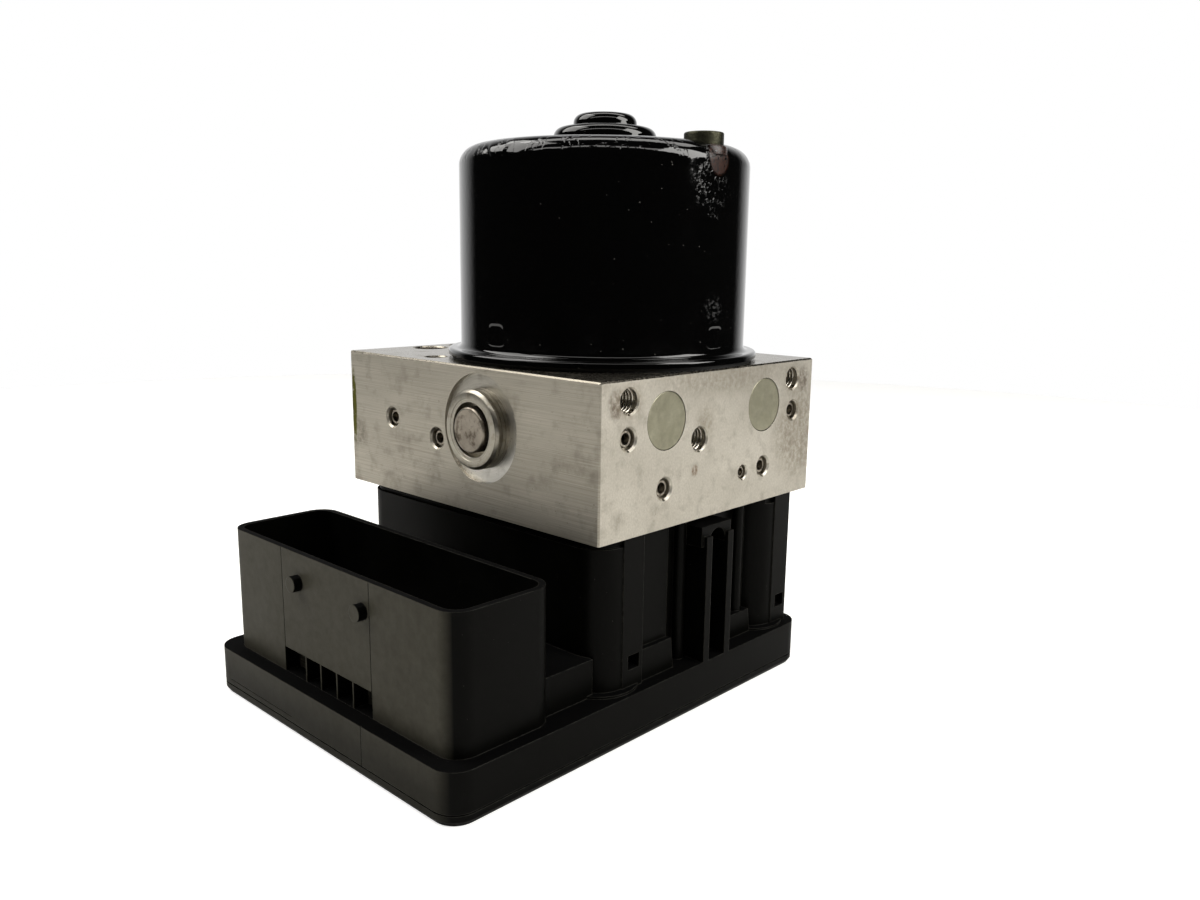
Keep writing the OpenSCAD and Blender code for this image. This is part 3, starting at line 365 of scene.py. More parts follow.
aluminium, t, shader, mm = material("milled_aluminium", 1.0)
turn = add_node(t, "ShaderNodeSeparateXYZ", {0: add_node(t, "ShaderNodeTexCoord").outputs["Normal"]}).outputs
at = add_node(t, "ShaderNodeSeparateXYZ", {0: mm}).outputs
faces_y = add_node(t, "ShaderNodeMath", {0: turn[1]}, operation="ABSOLUTE")
faces_y = add_node(t, "ShaderNodeMath", {0: faces_y, 1: 0.7}, operation="GREATER_THAN")
faces_up = add_node(t, "ShaderNodeMath", {0: turn[2], 1: 0.7}, operation="GREATER_THAN")
rounded, edges = bevelled_edges(t, 0.08, 0.99, 0.8)
front_grain = noise_between(t, mm, 1.0, 0.25, 0.75, (0.03, 1, 4.5), 6.0)
side_grain = noise_between(t, mm, 1.0, 0.2, 0.8, (1, 2.2, 1.6), 5.0)
grain = add_node(t, "ShaderNodeMix", {0: faces_y, 2: side_grain, 3: front_grain}, data_type="FLOAT")
side_tone = coats(t, "#B5AFA3", (grain, "#DCD7CC"))
front_tone = coats(t, "#9C968A", (grain, "#D2CCBF"))
# The top faces are painted darker: painted shade, for the dark reflection seen in them.
painted_top_shade = add_node(t, "ShaderNodeMath", {0: faces_up, 1: 0.8}, operation="MULTIPLY")
broad = noise_between(t, mm, 0.05, 0.3, 0.7, (0.5, 1, 1.6), to=0.35)
tone = coats(t, side_tone, (faces_y, front_tone), (painted_top_shade, "#736D62"), (broad, "#8E887B"))
# The spot faces round the pump plugs are turned deeper with a fly cutter: brighter, with rings round the plug.
spot_rings, from_pump = rings_round_pump(t, mm, 2.5)
off_middle = add_node(t, "ShaderNodeMath", {0: at[1], 1: (FRONT_Y + BACK_Y) / 2}, operation="SUBTRACT")
off_middle = add_node(t, "ShaderNodeMath", {0: off_middle}, operation="ABSOLUTE")
sunk = add_node(t, "ShaderNodeMath", {0: off_middle, 1: (BACK_Y - FRONT_Y) / 2 - SPOT_DEPTH}, operation="LESS_THAN")
near_pump = add_node(t, "ShaderNodeMath", {0: from_pump, 1: SPOT_RADIUS}, operation="LESS_THAN")
spot_floor = add_node(t, "ShaderNodeMath", {0: sunk, 1: near_pump}, operation="MULTIPLY")
spot_floor = add_node(t, "ShaderNodeMath", {0: spot_floor, 1: faces_y}, operation="MULTIPLY")
# Lower down the spot faces are painted brighter, a painted pool of light.
painted_light_below = {"Value": at[2], "From Min": 82.0, "From Max": 62.0}
painted_light_below = add_node(t, "ShaderNodeMapRange", painted_light_below, interpolation_type="SMOOTHSTEP")
spot_dim = coats(t, "#A39F96", (painted_light_below, "#E6E2D9"))
spot_bright = coats(t, "#C2BEB4", (painted_light_below, "#FDFBF6"))
blotch = noise_between(t, mm, 0.22, 0.52, 0.72, detail=6.0, to=0.4)
tone = coats(t, tone, (spot_floor, coats(t, spot_dim, (spot_rings, spot_bright))), (blotch, "#8A8377"))
# Screws turned in and out have rubbed brown marks beside two of the threads, and the brackets left haloes round them.
# Each row: centre, reach, colour and how much of it.
for centre, reach, colour, amount in (
    ((SIDE_X, -15.8, 84.5), (2, 3.4, 5.0), "#5A4A3A", 0.75),
    ((SIDE_X, 62.6, 84.3), (2, 3.4, 5.0), "#5A4A3A", 0.75),
    ((SIDE_X, -11.1, 84.9), (2, 6.5, 6.5), "#857A68", 0.5),
    ((SIDE_X, 57.1, 84.9), (2, 6.0, 6.5), "#857A68", 0.45),
    ((SIDE_X, 17.5, 76.5), (2, 5.0, 7.0), "#857A68", 0.5),
    ((SIDE_X, 14.0, 64.9), (2, 1.6, 2.0), "#6B4F33", 0.9),
    # This row and the next are painted shade: the side darkened towards its far end and along its top.
    ((SIDE_X, 64.0, 69.0), (2, 20.0, 17.0), "#8A8172", 0.75),
    ((SIDE_X, 26.0, 89.0), (2, 36.0, 8.0), "#8A8172", 0.5),
    ((-46.5, FRONT_Y, 66.5), (5.5, 2, 6.0), "#6A6355", 0.6),
    ((-25.5, FRONT_Y, 68.0), (8.0, 2, 2.4), "#7C7568", 0.35),
    ((-48.6, FRONT_Y, 74.0), (1.3, 2, 13.0), "#55540F", 2.5),
    ((44.0, FRONT_Y, 69.2), (12.0, 2, 2.2), "#7F786B", 0.35),
    ((SIDE_X, -14.6, 57.3), (2, 3.8, 3.0), "#8A8376", 0.4),
):
    mottled = noise_between(t, mm, 0.7, 0.3, 0.6, detail=6.0, to=amount)
    mark = add_node(t, "ShaderNodeMath", {0: patch(t, mm, centre, reach, 0.6), 1: mottled}, operation="MULTIPLY")
    tone = coats(t, tone, (mark, colour))
pits = noise_between(t, mm, 1.5, 0.69, 0.75, detail=3.0, to=0.8)
# The edges are painted paler: a painted highlight along them, with some wear.
edge_sheen_and_wear = add_node(t, "ShaderNodeMath", {0: edges, 1: 0.2}, operation="MULTIPLY")
t.links.new(coats(t, tone, (pits, "#5E574B"), (edge_sheen_and_wear, "#E4E0D8")), shader.inputs["Base Color"])
rough = add_node(t, "ShaderNodeMapRange", {"Value": grain, "To Min": 0.34, "To Max": 0.5})
rough = add_node(t, "ShaderNodeMath", {0: blotch, 1: 0.3, 2: rough}, operation="MULTIPLY_ADD")
rough = add_node(t, "ShaderNodeMath", {0: faces_up, 1: -0.16, 2: rough}, operation="MULTIPLY_ADD")
t.links.new(rough.outputs[0], shader.inputs["Roughness"])
# Fine scratches run every way; a dense bunch is left at the near lower corner of the side.
along = add_node(t, "ShaderNodeMapping", {0: mm, "Rotation": (0.5, 0, 0), "Scale": (1, 0.12, 3.2)})
scratches = add_node(t, "ShaderNodeTexNoise", {0: along, "Scale": 1.0, "Detail": 2.0})
fine = add_node(t, "ShaderNodeMapRange", {"Value": scratches, "From Min": 0.64, "From Max": 0.68, "To Max": -0.6})
tall = {0: mm, "Scale": 0.55, "Distortion": 2.0, "Detail": 3.0}
tall = add_node(t, "ShaderNodeTexWave", tall, bands_direction="Y").outputs[1]
bunch = {0: patch(t, mm, (SIDE_X, -15.0, 57.2), (2, 4.0, 3.0), 0.4), 1: tall}
bunch = add_node(t, "ShaderNodeMath", bunch, operation="MULTIPLY")
relief = add_node(t, "ShaderNodeMath", {0: grain, 1: fine}, operation="ADD")
relief = add_node(t, "ShaderNodeMath", {0: bunch, 1: -1.5, 2: relief}, operation="MULTIPLY_ADD")
relief = add_node(t, "ShaderNodeMath", {0: pits, 1: -1.2, 2: relief}, operation="MULTIPLY_ADD")
bump = add_node(t, "ShaderNodeBump", {"Height": relief, "Normal": rounded, "Strength": 0.35, "Distance": 0.00006})
t.links.new(bump.outputs[0], shader.inputs["Normal"])
give(aluminium, "valve_block")


# Threads: cut ridges in the tapped holes and ports, with a 60 degree profile, one ridge wound round each bore.
# The tap leaves them brighter than the block's faces, with dark oil in the grooves.
def ridge_tree(finish):
    """Geometry Nodes that wind one thread ridge inside a bore which runs down from z = 0."""
    tree = bpy.data.node_groups.new("thread_ridge", "GeometryNodeTree")
    for name in ("Bore radius", "Pitch", "Turns", "Ridge height"):
        tree.interface.new_socket(name, in_out="INPUT", socket_type="NodeSocketFloat")
    tree.interface.new_socket("Geometry", in_out="OUTPUT", socket_type="NodeSocketGeometry")
    given = add_node(tree, "NodeGroupInput").outputs
    radius, pitch, turns = given["Bore radius"], given["Pitch"], given["Turns"]
    length = add_node(tree, "ShaderNodeMath", {0: pitch, 1: turns}, operation="MULTIPLY")
    down = add_node(tree, "ShaderNodeMath", {0: length, 1: -1.0}, operation="MULTIPLY")
    sink = add_node(tree, "ShaderNodeMath", {0: pitch, 1: -0.9}, operation="MULTIPLY")
    wide = add_node(tree, "ShaderNodeMath", {0: pitch, 1: 0.84}, operation="MULTIPLY")
    run = {"Resolution": 40, "Rotations": turns, "Start Radius": radius, "End Radius": radius, "Height": down}
    coil = add_node(tree, "GeometryNodeCurveSpiral", run)
    upright = add_node(tree, "GeometryNodeSetCurveNormal", {0: coil}, mode="Z_UP")
    kite = {"Width": wide, "Top Height": given["Ridge height"], "Bottom Height": 0.00002}
    section = add_node(tree, "GeometryNodeCurvePrimitiveQuadrilateral", kite, mode="KITE")
    swept = add_node(tree, "GeometryNodeCurveToMesh", {0: upright, 1: section, "Fill Caps": True})
    lowered = add_node(tree, "ShaderNodeCombineXYZ", {2: sink})
    moved = add_node(tree, "GeometryNodeTransform", {0: swept, "Translation": lowered})
    whole = add_node(tree, "GeometryNodeRealizeInstances", {0: moved})
    dressed = add_node(tree, "GeometryNodeSetMaterial", {0: whole, "Material": finish})
    add_node(tree, "NodeGroupOutput", {0: dressed})
    return tree


def thread_ridge(tree, mount, turns, lift):
    """Winds the ridge of one mount's bore, starting so far above its mouth, and rides it on the unit."""
    holder = put("winding", bpy.data.meshes.new("winding"))
    winding = holder.modifiers.new("winding", "NODES")
    winding.node_group = tree
    radius = mount["dims"]["r_mm"] / 1000
    sizes = {"Bore radius": radius, "Pitch": RIDGE_PITCH, "Turns": turns, "Ridge height": RIDGE_HEIGHT}
    for socket in tree.interface.items_tree:
        if socket.in_out == "INPUT":
            winding[socket.identifier] = sizes[socket.name]
    mesh = bpy.data.meshes.new_from_object(holder.evaluated_get(bpy.context.evaluated_depsgraph_get()))
    bpy.data.objects.remove(holder)
    mouth = Vector(mount["pos_m"]) + Vector(mount["axis"]) * lift
    to_right_face = Matrix.Rotation(math.pi / 2, 4, "Y")
    mesh.transform(Matrix.Translation(mouth) @ (to_right_face if mount["axis"][0] else Matrix.Identity(4)))
    shape = bmesh.new()
    shape.from_mesh(mesh)
    bmesh.ops.recalc_face_normals(shape, faces=shape.faces)
    shape.to_mesh(mesh)
    shape.free()
    ridge = put(mount["name"] + "_ridge", mesh)
    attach(ridge, "unit")


cut_metal, t, shader, mm = material("cut_aluminium_thread", 1.0, 0.22)
t.links.new(coats(t, "#C9C5BC", (noise_between(t, mm, 0.8, 0.35, 0.7), "#8F897E")), shader.inputs["Base Color"])
RIDGE_PITCH, RIDGE_HEIGHT = 0.001, 0.00052
ridges = ridge_tree(cut_metal)
mounts = {m["name"]: m for m in frame["record"]["mounts"]}
for names, turns, lift in (
    (("fixing_thread_front", "fixing_thread_middle", "fixing_thread_back", "top_thread"), 12.5, 0.007),
    (("wheel_port_1", "wheel_port_2", "wheel_port_3", "wheel_port_4"), 11.5, 0.007),
    (("inlet_port_1", "inlet_port_2"), 12.5, 0.008),
):
    for name in names:
        thread_ridge(ridges, mounts[name], turns, lift)

# Plugs of the drillings: a ball driven into an oiled sleeve below a bright countersink.
# The ball is polished bearing steel, the sleeve a short piece of drawn steel tube with duller walls.
ball_steel, t, shader, mm = material("oiled_ball_steel", 1.0, 0.2)
t.links.new(coats(t, "#A59E90", (noise_between(t, mm, 1.4, 0.4, 0.65), "#4B433A")), shader.inputs["Base Color"])
give(ball_steel, "ball_plugs")
sleeve_steel, t, shader, mm = material("pressed_sleeve_steel", 1.0, 0.32)
t.links.new(coats(t, "#A8A194", (noise_between(t, mm, 1.2, 0.35, 0.65), "#6B6459")), shader.inputs["Base Color"])
give(sleeve_steel, "plug_sleeves")


# Pump plugs: free-cutting steel turned on a lathe, pressed into the front and the back of the block.
# The tool leaves rings on every face; rolled edges hold them, and a domed cap sits in the middle.
def bridged(rows):
    """Faces between neighbouring rings of point numbers, the last ring joined to the first."""
    faces = []
    for lower, upper in zip(rows, rows[1:] + rows[:1]):
        for i in range(len(lower)):
            k = (i + 1) % len(lower)
            corners = list(dict.fromkeys((lower[i], lower[k], upper[k], upper[i])))
            if len(corners) > 2:
                faces.append(tuple(corners))
    return faces


def turned(profile, steps, place):
    """Points and faces of a profile of (radius, height) pairs turned about its own axis, then put in place."""
    points, rows = [], []
    for radius, rise in profile:
        if radius < 1e-6:
            rows.append([len(points)] * steps)
            points.append(place(0, 0, rise))
            continue
        rows.append([len(points) + i for i in range(steps)])
        for i in range(steps):
            a = 2 * math.pi * i / steps
            points.append(place(radius * math.cos(a), radius * math.sin(a), rise))
    return points, bridged(rows)


def rounded_corner(at, radius, start, end, steps=5):
    """Points round a corner's centre, from one angle to another in degrees."""
    angles = [math.radians(start + (end - start) * i / steps) for i in range(steps + 1)]
    return [(at[0] + radius * math.cos(a), at[1] + radius * math.sin(a)) for a in angles]


def add_piece(name, shapes, made, stands_for, sharp=32):
    """Makes one piece of shapes given in millimetres, rides it on the unit and lets it stand for a CAD node."""
    points, faces = [], []
    for some_points, some_faces in shapes:
        faces += [tuple(i + len(points) for i in face) for face in some_faces]
        points += some_points
    mesh = bpy.data.meshes.new(name)
    mesh.from_pydata([(x / 1000, y / 1000, z / 1000) for x, y, z in points], [], faces)
    shape = bmesh.new()
    shape.from_mesh(mesh)
    bmesh.ops.remove_doubles(shape, verts=shape.verts, dist=1e-7)
    bmesh.ops.recalc_face_normals(shape, faces=shape.faces)
    shade(shape, sharp)
    shape.to_mesh(mesh)
    shape.free()
    mesh.materials.append(made)
    piece = put(name, mesh)
    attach(piece, "unit")
    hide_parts(stands_for)


def from_face(face_y, outward):
    """Turns a shape that stands on z = 0 so that it points out of the front or the back face at the pump."""
    return lambda x, y, z: (MOTOR_X + x, face_y + outward * z, PUMP_Z + y)


turned_steel, t, shader, mm = material("turned_steel", 1.0, 0.33)
tool_rings = rings_round_pump(t, mm, 3.5)[0]
grime = noise_between(t, mm, 0.5, 0.5, 0.7, detail=6.0, to=0.6)
t.links.new(coats(t, "#7F7A6F", (tool_rings, "#BDB8AC"), (grime, "#6A6152")), shader.inputs["Base Color"])
bump = add_node(t, "ShaderNodeBump", {"Height": tool_rings, "Strength": 0.3, "Distance": 0.00005})
t.links.new(bump.outputs[0], shader.inputs["Normal"])
collar = [(5.9, -9), (9, -9), (9, -1.2), (10.25, -1.2), (10.25, -0.05), (10.1, 0.0), (10.1, 0.08), (10.25, 0.13)]
collar += [(10.25, 1.2), (10.1, 1.25), (10.1, 1.35), (10.25, 1.4), (10.25, 2.25)]
collar += rounded_corner((10.05, 2.25), 0.2, 0, 40, 2) + [(9.55, 2.92)]
collar += rounded_corner((9.4, 2.85), 0.15, 40, 90, 2)
collar += [(8.1, 3.0), (8.02, 2.9), (7.5, 2.9)] + rounded_corner((7.2, 2.7), 0.2, 90, 180, 4)
collar += [(7.0, -0.6), (5.9, -0.6)]
sides = [from_face(FRONT_Y, -1), from_face(BACK_Y, 1)]
add_piece("pump_plug_collars", [turned(collar, 128, side) for side in sides], turned_steel, "pump_plugs")

cap_steel, t, shader, mm = material("drawn_cap_steel", 1.0)
stain = noise_between(t, mm, 0.42, 0.51, 0.66, detail=7.0, to=0.8)
cloudy = noise_between(t, mm, 0.25, 0.35, 0.65)
t.links.new(coats(t, "#877F74", (cloudy, "#9C9488"), (stain, "#4F4337")), shader.inputs["Base Color"])
rough = add_node(t, "ShaderNodeMath", {0: stain, 1: 0.2, 2: 0.34}, operation="MULTIPLY_ADD")
t.links.new(rough.outputs[0], shader.inputs["Roughness"])
dents = add_node(t, "ShaderNodeTexNoise", {0: mm, "Scale": 0.5, "Detail": 4.0})
bump = add_node(t, "ShaderNodeBump", {"Height": dents, "Strength": 0.15, "Distance": 0.0001})
t.links.new(bump.outputs[0], shader.inputs["Normal"])
cap = [(0, -10.8), (5.86, -10.8), (5.86, 3.1)] + rounded_corner((5.26, 3.1), 0.6, 0, 90, 7)
cap += [(4.8, 3.65), (4.5, 3.63), (2.5, 3.61), (0, 3.59)]
add_piece("pump_plug_caps", [turned(cap, 96, side) for side in sides], cap_steel, "pump_caps")

# Reservoir caps: pressed steel discs with a dull greenish-grey zinc coat, flush in the right side.
# A dark line is painted round each disc's edge, a painted shade of the groove.
RESERVOIRS_AT, DISC_RADIUS = ((2.5, 78.9), (43.7, 78.8)), 7.25
zinc, t, shader, mm = material("dull_zinc_coat", 1.0)
mottle = noise_between(t, mm, 0.45, 0.3, 0.7, detail=7.0)
smear = noise_between(t, mm, 0.16, 0.4, 0.7, (1, 1, 2.2), 5.0, 0.6)
tone = coats(t, "#858270", (mottle, "#A19E8A"), (smear, "#86846F"))
for y, z in RESERVOIRS_AT:
    on_disc = patch(t, mm, (SIDE_X, y, z), (9, DISC_RADIUS + 0.01, DISC_RADIUS + 0.01), 0.035)
    by_disc = patch(t, mm, (SIDE_X, y, z), (9, 8, 8), 0.02)
    groove = add_node(t, "ShaderNodeMath", {0: 1.0, 1: on_disc}, operation="SUBTRACT")
    groove = add_node(t, "ShaderNodeMath", {0: by_disc, 1: groove}, operation="MULTIPLY")
    groove_shade = add_node(t, "ShaderNodeMath", {0: groove, 1: 0.85}, operation="MULTIPLY")
    tone = coats(t, tone, (groove_shade, "#3B382F"))
t.links.new(tone, shader.inputs["Base Color"])
rough = add_node(t, "ShaderNodeMath", {0: mottle, 1: 0.14, 2: 0.36}, operation="MULTIPLY_ADD")
t.links.new(rough.outputs[0], shader.inputs["Roughness"])
bump = add_node(t, "ShaderNodeBump", {"Height": mottle, "Strength": 0.25, "Distance": 0.00006})
t.links.new(bump.outputs[0], shader.inputs["Normal"])
disc = [(0, -3.0), (DISC_RADIUS, -3.0), (DISC_RADIUS, -0.3)] + rounded_corner((6.95, -0.3), 0.26, 0, 90, 4)
disc += [(6.5, -0.06), (0, -0.06)]
discs = [turned(disc, 96, lambda x, y, z, at=at: (SIDE_X + z, at[0] + x, at[1] + y)) for at in RESERVOIRS_AT]
add_piece("reservoir_caps", discs, zinc, "accu_caps")

# Pump motor's can: deep-drawn steel, dipped in glossy black enamel, with a foot flange, a stepped top for the bush and
# four square dimples that hold the magnets. The enamel has run and chipped at the shoulder and lifted by the stud.
CAN_R, FLANGE_R, FOOT, WALL, SHOULDER_R = 39.4, 42.9, 2.7, 56.0, 5.0
STUD_X, RIGHT_X = MOTOR_X + 33.8, MOTOR_X + CAN_R
enamel, t, shader, mm = material("dipped_black_enamel", 0.0)
shader.inputs["Specular IOR Level"].default_value = 0.4
# Beside the rust below the stud the enamel has lifted in drooping blisters; it is scraped at the wall's foot.
drooping = add_node(t, "ShaderNodeMapping", {0: mm, "Scale": (1.0, 1.0, 0.45), "Rotation": (0.35, 0, 0)})
lifted = add_node(t, "ShaderNodeTexVoronoi", {0: drooping, "Scale": 0.9, "Smoothness": 0.35}, feature="SMOOTH_F1")
wrinkle = add_node(t, "ShaderNodeTexNoise", {0: drooping, "Scale": 0.7, "Detail": 4.0, "Distortion": 0.8})
skin = add_node(t, "ShaderNodeMath", {0: lifted, 1: wrinkle}, operation="ADD")
skin = add_node(t, "ShaderNodeMath", {0: skin, 1: 0.9}, operation="SUBTRACT")
loose = noise_between(t, mm, 0.4, 0.5, 0.58, to=1.1)
loose_skin = add_node(t, "ShaderNodeMath", {0: skin, 1: loose}, operation="MULTIPLY")
rust_area = patch(t, mm, (RIGHT_X - 1, MOTOR_Y - 0.5, 141.8), (5, 4.3, 4.8), 0.25)
covered = add_node(t, "ShaderNodeMath", {0: 1.0, 1: rust_area}, operation="SUBTRACT")
blister_area = patch(t, mm, (RIGHT_X, MOTOR_Y - 2.4, 135.2), (7, 8.4, 11.5), 0.5)
blistered = add_node(t, "ShaderNodeMath", {0: blister_area, 1: covered}, operation="MULTIPLY")
blisters = add_node(t, "ShaderNodeMath", {0: blistered, 1: loose_skin}, operation="MULTIPLY")
scrape_area = patch(t, mm, (RIGHT_X, MOTOR_Y - 1, 105.2), (5, 5, 5), 0.8)
scraped = noise_between(t, mm, 1.0, 0.56, 0.66, (1, 1, 1.5), to=0.22)
scrapes = add_node(t, "ShaderNodeMath", {0: scrape_area, 1: scraped}, operation="MULTIPLY")
up = add_node(t, "ShaderNodeSeparateXYZ", {0: mm}).outputs[2]
over_wall = {"Value": up, "From Min": 140.5, "From Max": 142.5}
over_wall = add_node(t, "ShaderNodeMapRange", over_wall, interpolation_type="SMOOTHSTEP")
under_top = {"Value": up, "From Min": 145.2, "From Max": 146.0, "To Min": 0.45, "To Max": 0.0}
under_top = add_node(t, "ShaderNodeMapRange", under_top, interpolation_type="SMOOTHSTEP")
on_shoulder = add_node(t, "ShaderNodeMath", {0: over_wall, 1: under_top}, operation="MULTIPLY")
chipped = noise_between(t, mm, 0.09, 0.5, 0.515, (1, 1, 0.7), 4.0, 0.6)
chips = add_node(t, "ShaderNodeMath", {0: on_shoulder, 1: chipped}, operation="MULTIPLY")
orange_peel = add_node(t, "ShaderNodeTexNoise", {0: mm, "Scale": 0.5, "Detail": 2.0})
relief = add_node(t, "ShaderNodeMath", {0: blisters, 1: scrapes}, operation="ADD")
relief = add_node(t, "ShaderNodeMath", {0: relief, 1: chips}, operation="ADD")
relief = add_node(t, "ShaderNodeMath", {0: orange_peel, 1: 0.12, 2: relief}, operation="MULTIPLY_ADD")
bump = add_node(t, "ShaderNodeBump", {"Height": relief, "Strength": 0.7, "Distance": 0.00025})
t.links.new(bump.outputs[0], shader.inputs["Normal"])
rust = {0: rust_area, 1: noise_between(t, mm, 0.8, 0.3, 0.4, detail=6.0)}
rust = add_node(t, "ShaderNodeMath", rust, operation="MULTIPLY")
rust_tone = coats(t, "#0C0503", (noise_between(t, mm, 1.6, 0.4, 0.6), "#33180C"))
specks = noise_between(t, mm, 1.5, 0.783, 0.8, detail=1.0)
t.links.new(coats(t, "#030303", (rust, rust_tone), (specks, "#64635F")), shader.inputs["Base Color"])
film = noise_between(t, mm, 0.1, 0.4, 0.7)
rough = add_node(t, "ShaderNodeMath", {0: film, 1: 0.05, 2: 0.05}, operation="MULTIPLY_ADD")
rough = add_node(t, "ShaderNodeMath", {0: rust, 1: 0.34, 2: rough}, operation="MULTIPLY_ADD")
t.links.new(rough.outputs[0], shader.inputs["Roughness"])

outside = [(FLANGE_R, 1.0), (FLANGE_R, FOOT - 0.9)] + rounded_corner((FLANGE_R - 0.9, FOOT - 0.9), 0.9, 0, 90, 6)
outside += [(41.4, FOOT)] + rounded_corner((CAN_R + 1.4, FOOT + 1.4), 1.4, 270, 180, 6)
rows_up = [FOOT + 1.6 + 0.16 * i for i in range(42)] + [11.5 + 1.2 * i for i in range(33)]
outside += [(CAN_R, z) for z in rows_up if z < WALL - SHOULDER_R - 0.2]
outside += rounded_corner((CAN_R - SHOULDER_R, WALL - SHOULDER_R), SHOULDER_R, 0, 90, 18) + [(28, 56.02), (20, 56.05)]
outside += rounded_corner((14.8, 56.85), 0.8, 270, 180, 5) + rounded_corner((11.5, 59.1), 2.5, 0, 90, 9)
outside += rounded_corner((9.2, 62.2), 0.6, 270, 180, 5) + rounded_corner((6.2, 62.8), 2.4, 0, 90, 9)
outside += [(3.5, 65.22), (0, 65.25)]
inside = [(0, 63.6), (7, 63.6), (7, 60), (12.4, 60), (12.4, 54.4), (34.4, 54.4), (36.8, 53.3), (37.8, 51), (37.8, 1.0)]
DIMPLES_AT, DIMPLE_RISE, RUN_AT = (0, 90, 180, 270), 7.9, 271
coarse = [1.5 * i for i in range(240)]
close = [(q + 0.3 * i) % 360 for q in DIMPLES_AT for i in range(-27, 28)]
angles = sorted({round(a, 3) for a in coarse + close})


def dented(radius, rise, angle):
    """Radius of the can's skin at a height and an angle in degrees, with its dimples, run enamel and soft dents."""
    out = 0.0
    if radius > CAN_R - 3 and rise > FOOT + 1.4:
        for q in DIMPLES_AT:
            off = (angle - q + 180) % 360 - 180
            u, v = math.radians(off) * CAN_R / 3.1, (rise - DIMPLE_RISE) / 2.7
            square = (abs(u) ** 4 + abs(v) ** 4) ** 0.25
            if square < 1.4:
                out += -0.06 / (1 + math.exp((square - 0.86) * 45)) + 0.02 * math.exp(-(((square - 1.04) / 0.08) ** 2))
        off = (angle - RUN_AT + 180) % 360 - 180
        across = math.radians(off) * CAN_R
        if abs(across) < 9 and rise > 46:
            wedge = max(0.0, 1 - abs(across + 0.2 * (rise - 53)) / (0.6 + 0.9 * max(0, rise - 49.5)))
            out += 0.34 * min(1, wedge * 3) * math.exp(-(((rise - 52.8) / 2.0) ** 2))
        if rise > 50:
            a = math.radians(angle)
            out += 0.05 * noise.noise(Vector((13 * math.cos(a), 13 * math.sin(a), rise * 0.4)))
    return radius + out


points, rows = [], []
for part, is_skin in ((outside, True), (inside, False)):
    for radius, rise in part:
        if radius < 1e-6:
            rows.append([len(points)] * len(angles))
            points.append((MOTOR_X, MOTOR_Y, BLOCK_TOP + rise))
            continue
        rows.append([len(points) + i for i in range(len(angles))])
        for angle in angles:
            r, a = dented(radius, rise, angle) if is_skin else radius, math.radians(angle)
            points.append((MOTOR_X + r * math.cos(a), MOTOR_Y + r * math.sin(a), BLOCK_TOP + rise))


def at_stud(x, y, z):
    """Moves a shape that is turned about z to the earth stud's axis, with z = 0 on the block."""
    return (STUD_X + x, MOTOR_Y + y, BLOCK_TOP + z)


pool = [(4.6, 52.6), (5.95, 52.6), (5.9, 54.3)] + rounded_corner((5.3, 54.3), 0.55, 10, 90, 5)
pool += [(5.02, 54.95), (4.6, 54.95)]
add_piece("enamelled_can", [(points, bridged(rows)), turned(pool, 72, at_stud)], enamel, "motor_can", sharp=50)

# Earth stud: a short steel peg, spot-welded to the can's shoulder.
# It is bare and tarnished dark, with a worn bright rim.
tarnish, t, shader, mm = material("tarnished_stud_steel", 1.0, 0.45)
rounded, edges = bevelled_edges(t, 0.5, 0.99, 0.8)
dirty = noise_between(t, mm, 0.5, 0.35, 0.65, detail=7.0)
bright_rim = add_node(t, "ShaderNodeMath", {0: edges, 1: 0.7}, operation="MULTIPLY")
t.links.new(coats(t, "#26261E", (dirty, "#403F33"), (bright_rim, "#A9A490")), shader.inputs["Base Color"])
pitted = noise_between(t, mm, 0.9, 0.3, 0.7)
bump = add_node(t, "ShaderNodeBump", {"Height": pitted, "Normal": rounded, "Strength": 0.5, "Distance": 0.0001})
t.links.new(bump.outputs[0], shader.inputs["Normal"])
stud = [(0, 52.1), (5, 52.1), (5, 57.7)] + rounded_corner((4.6, 57.7), 0.4, 0, 90, 4) + [(0, 58.1)]
add_piece("earth_stud", [turned(stud, 72, at_stud)], tarnish, "can_stub")

# Motor's end plate and all screws: steel, stamped or cold-headed.
# They are zinc plated and clear passivated, so softly mottled.
plated, t, shader, mm = material("zinc_plated_steel", 1.0)
bloom = noise_between(t, mm, 0.5, 0.3, 0.7, detail=6.0)
t.links.new(coats(t, "#A7A8A6", (bloom, "#C3C2BA")), shader.inputs["Base Color"])
rough = add_node(t, "ShaderNodeMath", {0: bloom, 1: 0.16, 2: 0.27}, operation="MULTIPLY_ADD")
t.links.new(rough.outputs[0], shader.inputs["Roughness"])
give(plated, "motor_end_plate", "ecu_screws", "motor_screws")

# Brush plate and plug's pin block: compression moulded in black mineral-filled resin.
# The resin has a cloudy, slightly brown skin.
resin, t, shader, mm = material("moulded_mineral_resin", 0.0, 0.5)
shader.inputs["Specular IOR Level"].default_value = 0.3
t.links.new(coats(t, "#0C0B0A", (noise_between(t, mm, 0.3, 0.3, 0.7), "#1B1916")), shader.inputs["Base Color"])
grain = noise_between(t, mm, 3.0, 0.3, 0.7)
bump = add_node(t, "ShaderNodeBump", {"Height": grain, "Strength": 0.3, "Distance": 0.00004})
t.links.new(bump.outputs[0], shader.inputs["Normal"])
give(resin, "brush_plate", "pin_block")

